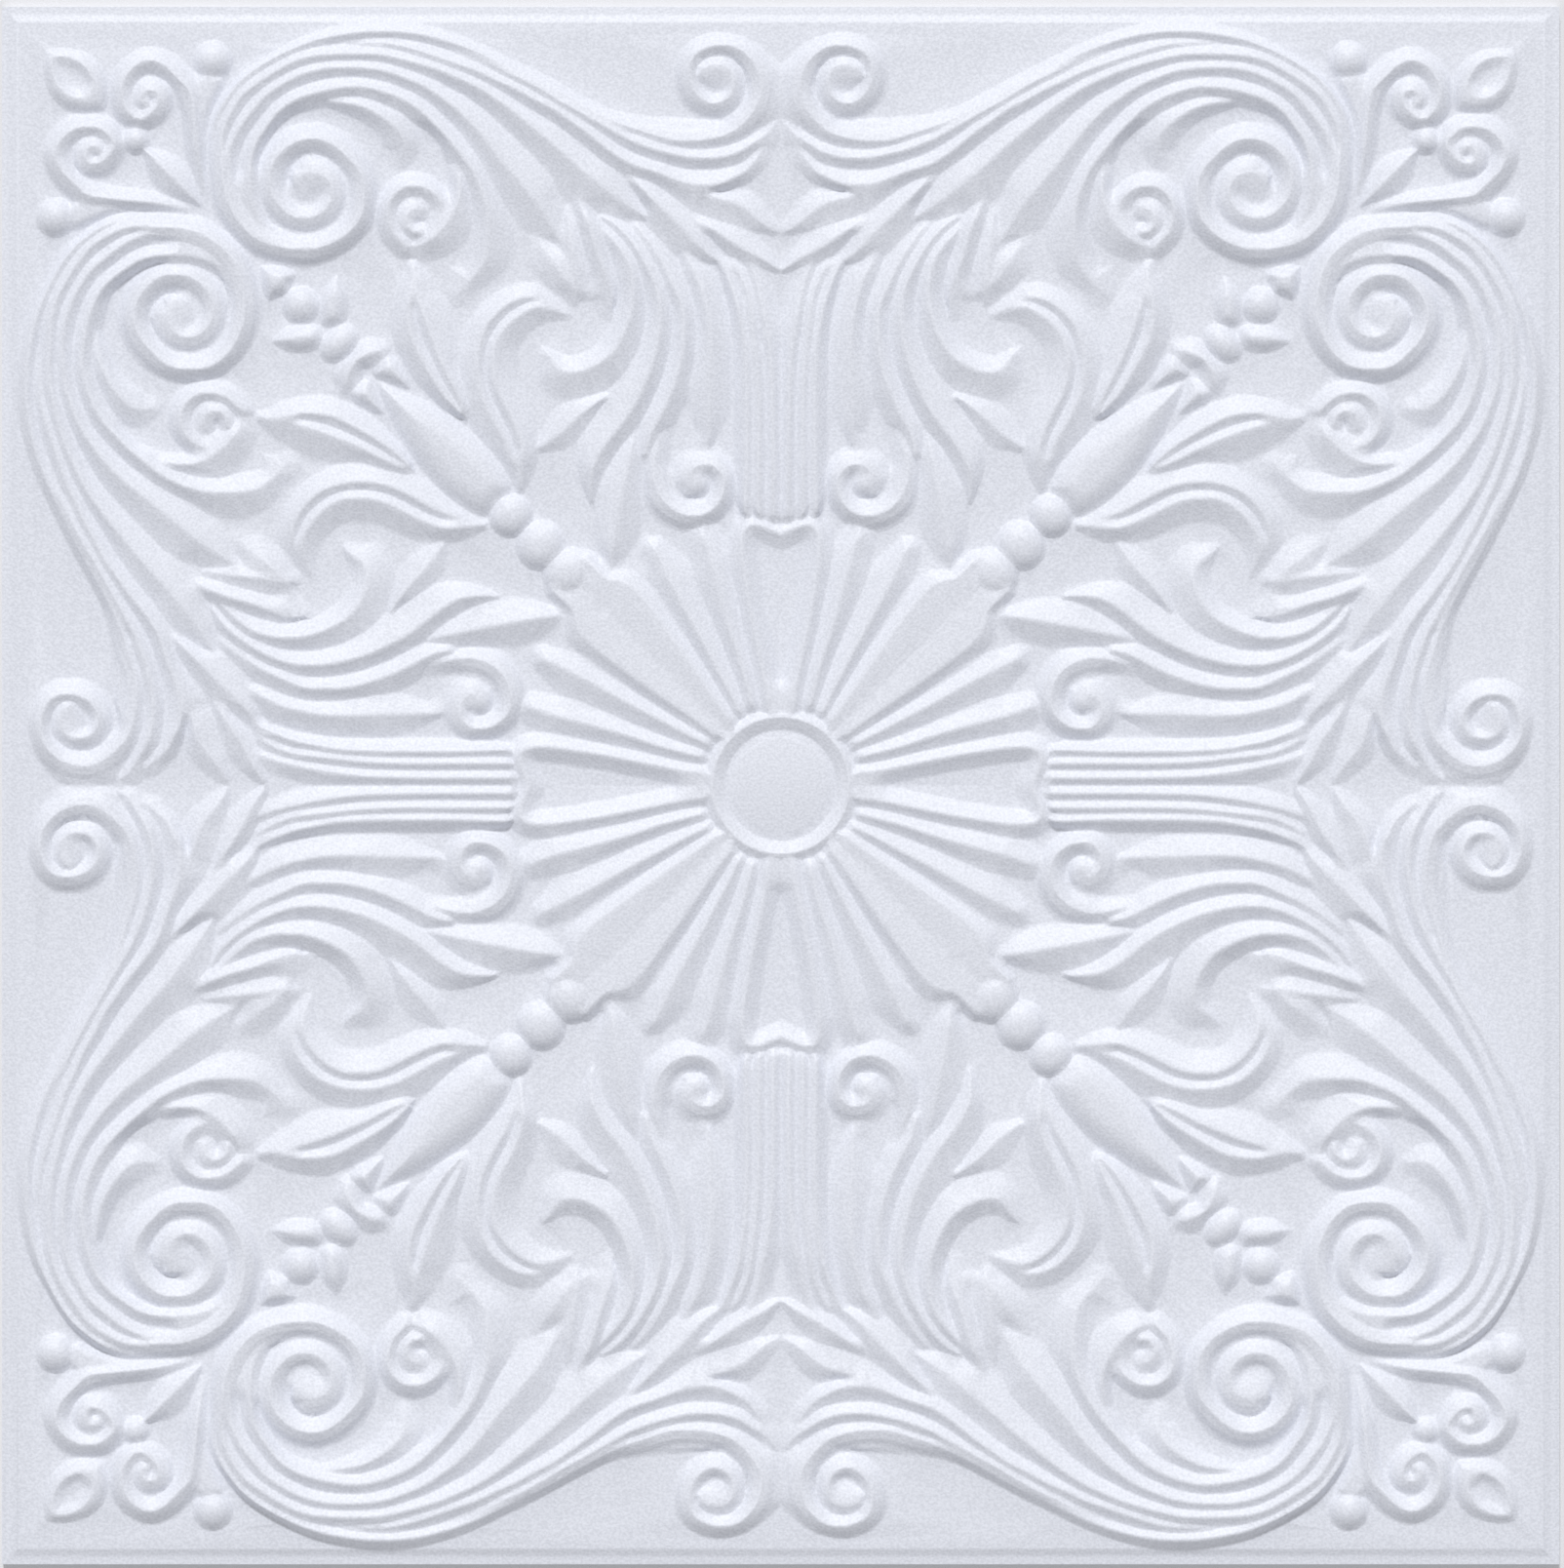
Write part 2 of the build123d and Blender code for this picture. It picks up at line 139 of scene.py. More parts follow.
# The ornament has eight mirrored parts. One eighth is drawn: a is the distance from the
# upright centre line, b the distance from the level centre line, with b larger than a.
#
# Lines where a leaf ends: "v" is a valley shared with a neighbour, "f" a foot on the ground,
# "s" the middle of a shallow hollow.
edges = [
    ("v", [(0, 205), (0, 232)]),
    ("v", [(0, 88), (0, 149)]),
    # top scroll
    ("v", [(17.8, 214.2), (14.9, 216), (12.4, 219.6), (11.4, 224.6), (12.8, 229.7), (16, 233.3),
           (20, 234.7), (23.6, 234.2), (26.1, 231.8), (26.7, 228.6), (25.7, 225), (23.6, 222.8),
           (20.3, 222.1), (18.2, 223.4), (17.4, 225.4)]),
    ("f", [(32.6, 235), (27, 239.6), (21.4, 241), (16, 240.6), (10.6, 239), (6, 236), (2.5, 231.6)]),
    ("f", [(33.5, 231), (34, 225), (31.8, 219.6), (27.5, 216), (22.1, 214.6)]),
    ("v", [(41.9, 206.6), (35.8, 204.8), (30.4, 203.9), (24.3, 203.6), (18.5, 204.1), (13.8, 205.7),
           (9.9, 208.3), (6.6, 211), (3.8, 213.5)]),
    ("f", [(64, 220.8), (55, 216.4), (45, 214.6), (39.8, 214), (30, 213.8), (22, 214.4)]),
    # outer ribs, from the outside to the inside
    ("f", [(184.4, 196.6), (184.4, 205.2), (183.5, 211.3), (181.5, 216.5), (178.2, 221), (173.6, 227.2),
           (167.8, 231.5), (162.4, 234.7), (155.2, 238.7), (148, 241.6), (138, 243.8), (128, 244.6),
           (121, 244.4), (112, 242.8), (99.5, 238.8), (87.4, 233), (77.3, 228), (64, 220.8),
           (55, 216.4)]),
    ("v", [(180.6, 206), (179.4, 212), (177.5, 217.4), (173.5, 222.6), (168.5, 227.2), (163.8, 231),
           (157.4, 234.2), (150, 236.4), (143, 238.2), (135, 239.9), (128, 240.4), (122.7, 240.1),
           (112.6, 238.6), (99.5, 234.5), (87.4, 228.6), (77.3, 223.6), (64.1, 215.9), (52, 209),
           (41.9, 206.6)]),
    ("v", [(124, 239), (116, 237), (109, 235.4), (102, 233.6), (94.8, 230.8), (87.6, 227.2),
           (80.4, 223.2), (73.2, 218.9), (66, 214.2), (58.8, 209.2), (51.6, 205.4), (43.7, 201.2),
           (37.6, 199.4), (27, 198), (16, 199.3), (12.4, 201.2), (8.8, 203.8), (6.1, 205.9)]),
    ("f", [(4.8, 199.1), (7.4, 196.6), (9.9, 194.1), (13.1, 192.3), (16, 191.2), (19.6, 190.7),
           (23.2, 190.5)]),
    ("v", [(146.6, 235.8), (141, 236.3), (134, 236.5), (126.8, 236.4), (121.4, 235.4), (116, 233.8),
           (108, 231), (102, 229), (94.8, 225.7), (90.1, 223.6), (85.8, 221.2), (81.8, 218.9),
           (77.5, 216.5), (73.2, 213.8), (69.6, 211.7), (66, 208.8), (62.4, 205.7), (58.8, 203),
           (55.2, 200.5), (51.6, 198.4), (48.8, 196.6), (44.8, 195), (41.2, 193.5), (37.6, 191.2),
           (34.7, 189), (31.8, 186.5), (29, 184.7), (26.1, 182.9)]),
    ("f", [(47.6, 193.6), (45.9, 189), (43.7, 185.8), (42.3, 183.3), (43.4, 181)]),
    ("v", [(177.7, 204.8), (176.8, 208.1), (175.4, 211.7), (173.6, 214.9), (171.4, 217.8),
           (168.9, 220.7), (166, 223.2), (162.4, 225.7), (158.8, 227.9), (155.2, 229.5), (151.6, 230.8),
           (148, 231.8), (144.8, 232.4), (140.1, 232.4), (135.8, 232.3), (131.8, 231.9), (127.5, 231.1),
           (123.2, 230), (119.6, 229.1), (116, 228.1), (112.4, 226.6), (108.8, 225), (105.2, 223.4),
           (101.6, 221.8), (99.1, 219.6), (96.2, 217.4), (92.3, 214.6), (87.6, 209.9), (84, 206.6),
           (80.4, 203), (78.6, 201.4), (75.4, 198), (72.1, 193.4), (68.5, 190.1), (65.3, 188)]),
    ("f", [(61.7, 185.1), (58, 183.4), (54.1, 182.2), (50.5, 180.9), (44.6, 181.2)]),
    ("f", [(71.8, 192), (71, 187.6), (70, 184), (69.6, 180.4), (70.1, 176.8)]),
    ("v", [(173.2, 194), (173.2, 198.7), (172.7, 202.3), (171.8, 205.6), (170.3, 209.2), (168.5, 212),
           (166, 215.3), (162.4, 218.5), (158.8, 221.4), (155.2, 223.6), (151.6, 225), (148.4, 225.9),
           (144.8, 226.8), (141.2, 227.2), (136.9, 227.3), (132.9, 227.2), (129, 226.4), (125, 225.4),
           (121.4, 223.9), (117.8, 222.3), (114.6, 220.3), (111.3, 217.4), (108.1, 214.2),
           (105.2, 211.3), (102.7, 208.1), (100.5, 204.8), (98.4, 201.3), (94.8, 195.5), (91.2, 189.8),
           (88.3, 185.4)]),
    ("f", [(88.3, 185.4), (85.8, 181.8), (82.6, 178.6), (78.6, 176.4), (74.6, 174.6), (71.4, 174.1)]),
    ("f", [(86.4, 183), (85.6, 179), (85.4, 176.8), (85.8, 172.5), (86.9, 168.5), (89.4, 164.9),
           (92.3, 162), (95.5, 159.9), (100, 158.6)]),
    ("v", [(103.8, 200.6), (101.6, 197.3), (100.5, 193.7), (99.5, 189), (98.6, 184.7), (98.2, 180.4),
           (98.8, 176.1), (99.5, 171), (100.6, 166), (102, 162.4)]),
    ("f", [(168.2, 198.4), (167.1, 201.6), (165.6, 205.2), (163.8, 208.8), (161.7, 211.7),
           (158.8, 214.2), (155.2, 216.2), (149.8, 216.9), (144.8, 216.9), (139.4, 215.6),
           (135.1, 213.8), (131.8, 211.7), (129, 208.8), (127.2, 205.2), (125, 201)]),
    ("v", [(168.2, 198.4), (168.4, 194.8), (168.3, 191.2), (167.4, 187.6), (165.3, 184), (162.4, 180.8),
           (158.8, 178.2), (155.2, 177.2), (149.8, 177.5), (144.4, 179.3), (141.2, 182.2),
           (139.4, 185.8), (138.7, 189.4), (138.9, 193), (140.1, 196.6), (142.3, 199.5), (145.9, 202.1),
           (149.1, 203.1), (153.4, 202.7), (156.6, 200.9), (158.4, 198.8), (159.5, 194.8),
           (158.8, 191.2), (157, 188.3), (154.1, 186.9), (150.9, 186.9), (148.2, 188.6), (147, 191.4)]),
    ("v", [(148.4, 219.6), (144.8, 220.9), (141.2, 221.3), (137.6, 221.4), (134, 221.2), (130.4, 220.3),
           (126.8, 218.9), (123.2, 217.4), (120.3, 215.8), (118.2, 213.8), (116.7, 212.4)]),
    ("f", [(116.7, 212.4), (115.3, 208.8), (114.9, 205.9), (116, 202.3), (117.4, 199.8), (121, 197.6)]),
    ("f", [(116.7, 212.4), (114.2, 211), (110.6, 208.1), (108.8, 205.2), (107.7, 201.6), (107, 198.7),
           (105.9, 193), (106.6, 189.8), (107.7, 186.5)]),
    # great scroll, outside
    ("f", [(184.4, 205.2), (184.4, 196.6), (183.3, 191.9), (182.6, 187.6), (180.4, 182), (176.8, 176.8),
           (173.2, 173.2), (169.6, 170.7), (166, 169.2), (162.4, 168), (158.8, 167.1), (155.2, 166.5),
           (152, 166.7), (146.6, 167.8), (141.9, 170), (137.6, 172.8), (134, 176.4), (131.3, 180),
           (130.2, 184.4), (129.5, 188.3), (129.3, 192.3), (130.4, 195.9), (131.8, 200), (134.7, 204.8),
           (137.6, 207.7), (141.2, 209.9), (146.6, 211.9), (151.6, 212.3), (156, 211.6), (160, 209.6),
           (163.5, 206.6), (166.6, 202.4)]),
    # the three leaves by the upright centre line
    ("f", [(25.4, 180.8), (23.6, 177.5), (21.8, 174.6), (20, 172.1), (17.8, 169.6)]),
    ("v", [(50, 183), (47, 181.8), (44.1, 180.4), (41.9, 178.2), (39.4, 175.4), (36.5, 172.8),
           (34, 170.3)]),
    ("f", [(34, 170.3), (29, 169.2), (26.1, 167.8), (21, 167.1)]),
    ("f", [(23.2, 190.5), (18, 190.6), (12, 191.5), (9.5, 190.1), (6.6, 187.6), (4.8, 185.1),
           (3, 181.8)]),
    ("v", [(26.1, 182.9), (22.5, 181.7), (18.9, 180.6), (15.3, 179.7), (12.4, 178.6), (8.8, 177.7)]),
    ("f", [(8.8, 177.7), (5.2, 177.2), (2.2, 177)]),
    ("f", [(9, 177.6), (7, 175.4), (4.1, 172.1), (2.3, 169.6), (0.6, 167)]),
    ("f", [(22, 174.8), (17.8, 170.6), (14.6, 169.2), (11.7, 167.4), (8.4, 166.4), (5.6, 165.6),
           (1.6, 164.6)]),
    # long leaves below the ribs
    ("v", [(84.6, 181), (82.4, 176.8)]),
    ("f", [(84.6, 181), (83.4, 176.8), (82.6, 173), (81.8, 170.3), (80.4, 166), (76.8, 162),
           (73.9, 158.4), (71, 155.6), (68.5, 153.8), (65.3, 153.4)]),
    ("v", [(67.4, 186.9), (65.6, 184), (64.6, 180.4), (63.5, 176.1), (62.8, 172.1), (61.7, 167.8),
           (60.6, 163.1), (60.6, 161.3), (62.4, 157.4), (64.2, 154.8)]),
    ("v", [(61.5, 184), (59.5, 180.4), (57.7, 177.5), (55.9, 173.2), (54.3, 168.9), (53, 164.9),
           (52.1, 161.3), (52.3, 158.1)]),
    ("f", [(52.3, 158.1), (53.4, 154.5), (55.6, 149.8)]),
    ("f", [(76.6, 142.8), (72.6, 139), (66.4, 137.6), (61, 139.6), (57, 143.4), (54, 149), (52.4, 155),
           (52, 160)]),
    ("f", [(78.2, 141.6), (79.2, 137.6), (78.6, 134), (77.5, 130.4), (75.4, 127.2), (72.5, 124.6),
           (69.6, 123.6), (66, 123.9), (62.4, 125), (58.8, 125.7), (55.2, 127.2), (52, 129.7)]),
    ("v", [(57.7, 181.8), (54.8, 179), (51.6, 175.7), (49.1, 172.1), (46.5, 167), (44.3, 160),
           (43.2, 154), (43.4, 148.4), (44.3, 144.8), (45.3, 141.2), (47, 137.6), (48.8, 134.4),
           (50.6, 131.5), (52, 129.7)]),
    ("v", [(52, 129.7), (54, 126.6), (56.4, 123.6)]),
    ("f", [(56.4, 123.6), (58.1, 121.4), (59.9, 118.5), (62, 115.6), (63.8, 112.8), (64.9, 110.6),
           (65.3, 107), (65.1, 103.4), (64.6, 99.8), (63.7, 97), (61, 91)]),
    ("v", [(49, 178), (44.8, 172), (41, 166), (38, 160.5), (36.2, 155.6), (35.1, 148.4), (35.3, 144.8),
           (35.8, 141.2), (36.5, 137.6), (37.4, 134), (38.5, 130.4), (39.8, 126.8), (41.2, 123.6),
           (43, 120.3), (44.8, 117.4), (46.1, 114.2), (48.8, 112), (50.9, 109.9), (52.3, 107.7),
           (54.1, 104.8), (55.9, 102), (57.4, 98.7), (59.5, 93)]),
    ("v", [(46.1, 114.2), (45.5, 111.3), (44.6, 108.1), (44.1, 105.2), (44.2, 101.6)]),
    ("v", [(38, 115.6), (38.7, 112.8), (40.1, 110.2), (41.6, 107.7), (43.4, 105.2)]),
    ("f", [(44.2, 101.6), (44.4, 98), (44.2, 92.7), (43.3, 89.3), (41, 87), (38.1, 84.9), (34.4, 82.6),
           (30.3, 81.6), (26, 82), (21.7, 84.1), (18.6, 86.4), (16.2, 89.6), (14.8, 92.6), (14.2, 96.4),
           (14.4, 100.9), (15.6, 103.8), (17.4, 105.9), (20.3, 108), (24.3, 108.9), (28.6, 108),
           (31.8, 106.2), (34, 103.2)]),
    ("v", [(34.4, 104), (34.6, 97), (32.6, 93.2), (29.4, 91.2), (26, 91), (23.4, 92.2), (21.9, 95),
           (21.8, 97.6), (23, 99.2), (24.8, 99.6)]),
    ("v", [(41.6, 179.5), (38, 174.4), (35.8, 171.4), (33.6, 167.8), (31.8, 164.6), (30, 161),
           (28.6, 157), (27.5, 153), (27.2, 148.4), (27.3, 144.8), (27.5, 141.2), (28.1, 137.6),
           (28.6, 134), (29.1, 130.4), (29.7, 126.8), (29.9, 124.3)]),
    ("f", [(29.9, 124.3), (31.8, 120.7), (33.3, 117.4), (34.4, 114.2), (35.8, 110.2), (36.3, 106.6),
           (36.7, 101.6)]),
    ("f", [(29.9, 124.3), (29, 120.7), (27.9, 117.1), (26.1, 113.8), (23.9, 111)]),
    ("f", [(24.4, 168.4), (22.6, 166.4), (21, 164.2), (19.8, 159.9), (18.5, 156.3), (17.4, 152),
           (16.5, 148.4), (16, 144.8), (15.6, 141.2), (15.3, 134), (15.2, 126.8), (15.9, 123.6),
           (17.2, 119.6), (18.8, 116), (20.7, 112.4), (22.5, 110.2)]),
    # stems
    ("f", [(22, 169.6), (19.6, 165.6), (18, 160.2), (16.6, 155), (15.8, 149), (15.2, 143), (14.9, 134),
           (14.8, 122), (14.9, 108), (14.6, 96), (14, 91), (13, 87.6)]),
    ("v", [(15.6, 165.6), (14.2, 161.7), (12.8, 157), (12, 153), (11.3, 148.4), (10.6, 143),
           (9.9, 137.6), (9.5, 130.4), (9.1, 120), (9, 108.8), (9.4, 98), (9.6, 90), (9.4, 87.4)]),
    ("v", [(11.3, 165.6), (9.5, 161.3), (8.4, 157), (7.4, 152), (6.6, 146.6), (5.7, 141.2),
           (5.2, 135.8), (4.9, 130.4), (4.8, 110), (4.8, 90), (4.6, 86.8)]),
    ("f", [(5.4, 165.4), (3.8, 162.4), (2, 156), (0.2, 149.8)]),
    # small volute and cup leaf
    ("v", [(118.5, 175.7), (121.4, 177.2), (123.2, 179.7), (124.5, 182.9), (123.6, 186.5),
           (121.4, 188.7), (117.8, 189.6), (114.6, 187.6), (112.8, 184.7), (113.5, 181.8), (116, 180),
           (118.5, 180.8)]),
    ("f", [(107.2, 189.4), (109, 192.6), (112.4, 195.4), (117.4, 196.6), (121.2, 196), (124.6, 194.4),
           (127.5, 191.2), (129, 187.6), (130, 183.3), (129.7, 179), (127.5, 174.6), (125.4, 172.1),
           (122.6, 170)]),
    # the two leaves of the great cup
    ("v", [(118, 155.9), (117.4, 151.6), (116.9, 148.4), (116, 144.8), (114.6, 140.8), (112.8, 136.9),
           (111, 133.6), (109.2, 130.4), (107, 127.2), (105.2, 125), (103.4, 122)]),
    ("f", [(119, 168.4), (121.4, 164.6), (123.2, 158.8), (124.3, 153.4), (125, 148.7), (124.8, 144.6),
           (123.9, 141.2), (122.1, 138.7), (120.3, 134.7), (118.5, 131.5), (116, 128.6), (113.1, 125.7),
           (110.2, 122.8), (107.6, 120.6), (103.4, 118.4)]),
    ("f", [(115.6, 168.6), (114.2, 165.6), (111.7, 161.3), (108.8, 157.7), (106.3, 153.4),
           (104.4, 148.4), (103.8, 143)]),
    ("v", [(103.8, 143), (103.8, 137.6), (103.6, 132.9), (102.7, 129), (101.6, 125), (100.5, 121),
           (98.8, 116.7)]),
    ("v", [(77.5, 154.8), (80.4, 154.8), (83.3, 154.1), (86.2, 152.7), (88.7, 150.2), (90.8, 147.7),
           (92.6, 144.8), (93.9, 141.6), (94.6, 137.6), (94.8, 134), (94.6, 130.4), (93.9, 127.2),
           (92.8, 123.9), (91.2, 120.7), (89.4, 117.8), (87.6, 114.6), (86.2, 111.7), (85.1, 108.8),
           (84.4, 105.6)]),
    ("f", [(66.6, 150.8), (70.3, 149.7), (74.6, 148.8), (78.6, 147.3), (80.8, 145.2), (82.9, 143),
           (84.4, 140.5), (84.9, 136.9), (84.9, 133.3), (84.4, 129.7), (82.9, 126.4), (81.5, 123.2),
           (80, 120), (79.1, 117.1), (78.6, 113.8), (78, 110.2), (78.1, 106.6), (78.6, 103),
           (79.8, 99.4), (82, 95.6)]),
    ("f", [(68, 154), (71.6, 157.2), (75.6, 160), (80.4, 161.2), (85.2, 160.6), (90, 158.4),
           (94.8, 154.8), (98.6, 150.6), (101.4, 146.6), (103.8, 141)]),
    ("v", [(98.8, 116.7), (97, 113.1), (94.8, 110.6), (92.6, 107.7), (90.5, 104.8), (88.3, 102),
           (86.5, 98.7), (85.4, 95.6)]),
    # stray leaf and bud leaf
    ("f", [(59.4, 125.6), (62.4, 124.6), (66, 123.6), (68.9, 122.5), (71.4, 120.7), (73.9, 118.5),
           (75.4, 115.6), (76.6, 111.4)]),
    ("f", [(62.4, 115), (64.4, 112), (66, 110.6), (68.2, 108.8), (71.4, 107.7), (76, 107.4)]),
    ("f", [(59.6, 93), (60.3, 88), (60.2, 84), (59, 78.6), (57.2, 74), (55.6, 70)]),
    ("f", [(44.2, 99.7), (44.2, 92.7), (44.4, 87), (45.1, 83.2), (47.2, 77), (50.3, 71.1), (53, 69.4)]),
    # corner
    ("f", [(178.4, 176.6), (183, 182.8), (186, 187)]),
    ("v", [(198, 227.2), (201.6, 228.4), (205.2, 227.5), (207.9, 224.6), (209.2, 221.4), (208.1, 218.5),
           (205.6, 216.9), (203, 217.8), (201.6, 219.6), (200.9, 221)]),
    ("f", [(182.4, 189), (183.4, 194.6), (183.8, 200), (184, 206), (184.8, 212.4), (184.8, 218),
           (184.6, 222.6), (186.4, 226), (189.4, 229.4), (191.6, 231.8), (194.4, 233.8), (197.9, 235.4),
           (202, 236.6), (206, 235.8), (210, 233.4), (213.4, 230.2), (215, 226), (215.2, 220),
           (213.8, 214.4), (210, 211.5), (205, 210.8), (201.6, 211), (198.4, 212.8), (195.6, 215.6),
           (194.3, 219.6)]),
    ("f", [(183.4, 183.4), (186, 190), (188.6, 196.6), (190.6, 203), (191.2, 208), (191.6, 213),
           (192.4, 217), (194.3, 219.6), (194.8, 222.5), (196.6, 225.4), (198, 227.2)]),
    # petals
    ("v", [(49.4, 70.2), (46.6, 69), (44.8, 67.8), (41.6, 63.6), (39.4, 60.6), (35.4, 54.6), (31, 47.9),
           (25.8, 39.6), (20.2, 30.8), (17, 25.8), (14.2, 21.6)]),
    ("v", [(29.6, 71.4), (28.4, 68), (25.2, 60.4), (22.2, 53), (20, 48.4), (17, 41), (14, 34),
           (11.8, 28), (10.4, 24)]),
    ("v", [(17.2, 77), (16.4, 72), (14.6, 63.4), (13, 56), (11.4, 48), (9.8, 40.6), (8.4, 34), (7, 28),
           (6.6, 24.8)]),
    ("f", [(44.6, 76.4), (44.2, 72), (44.8, 67.8)]),
    ("f", [(44.6, 76.4), (41.6, 78.2), (37.4, 77), (33.6, 75), (31, 73), (29.6, 71.4)]),
    ("f", [(29, 79.6), (29.3, 76), (29.2, 72), (28.6, 69)]),
    ("f", [(29, 79.6), (26, 82.4), (22.6, 82.8), (20, 81.2), (18, 79), (17, 76.6)]),
    ("f", [(17.2, 77), (16, 81.6), (14.6, 86), (11, 87.6), (6, 86.6), (0, 84.6)]),
    ("f", [(61, 75), (58, 71.6), (55.6, 69.6), (53, 69.4), (49.4, 70.2)]),
    ("s", [(66, 66), (20.4, 20.4)]),
    # small volute, its inner turn
    ("v", [(121.6, 176.2), (118.6, 175.4), (115.8, 175.6), (113, 177.4)]),
    ("f", [(98.8, 178), (101.2, 174.4), (105.6, 171.2), (110.6, 169), (116.9, 167.6), (123.9, 169.6)]),
    # teardrop and collar on the diagonal
    ("f", [(205, 203.5), (201, 204), (197, 203), (193.7, 201.3), (190.1, 198.4), (188.7, 194.8),
           (187.6, 191.6), (186, 186)]),
    ("f", [(136.3, 141.8), (134, 143.4), (129.7, 143.7), (126.1, 142.8)]),
]

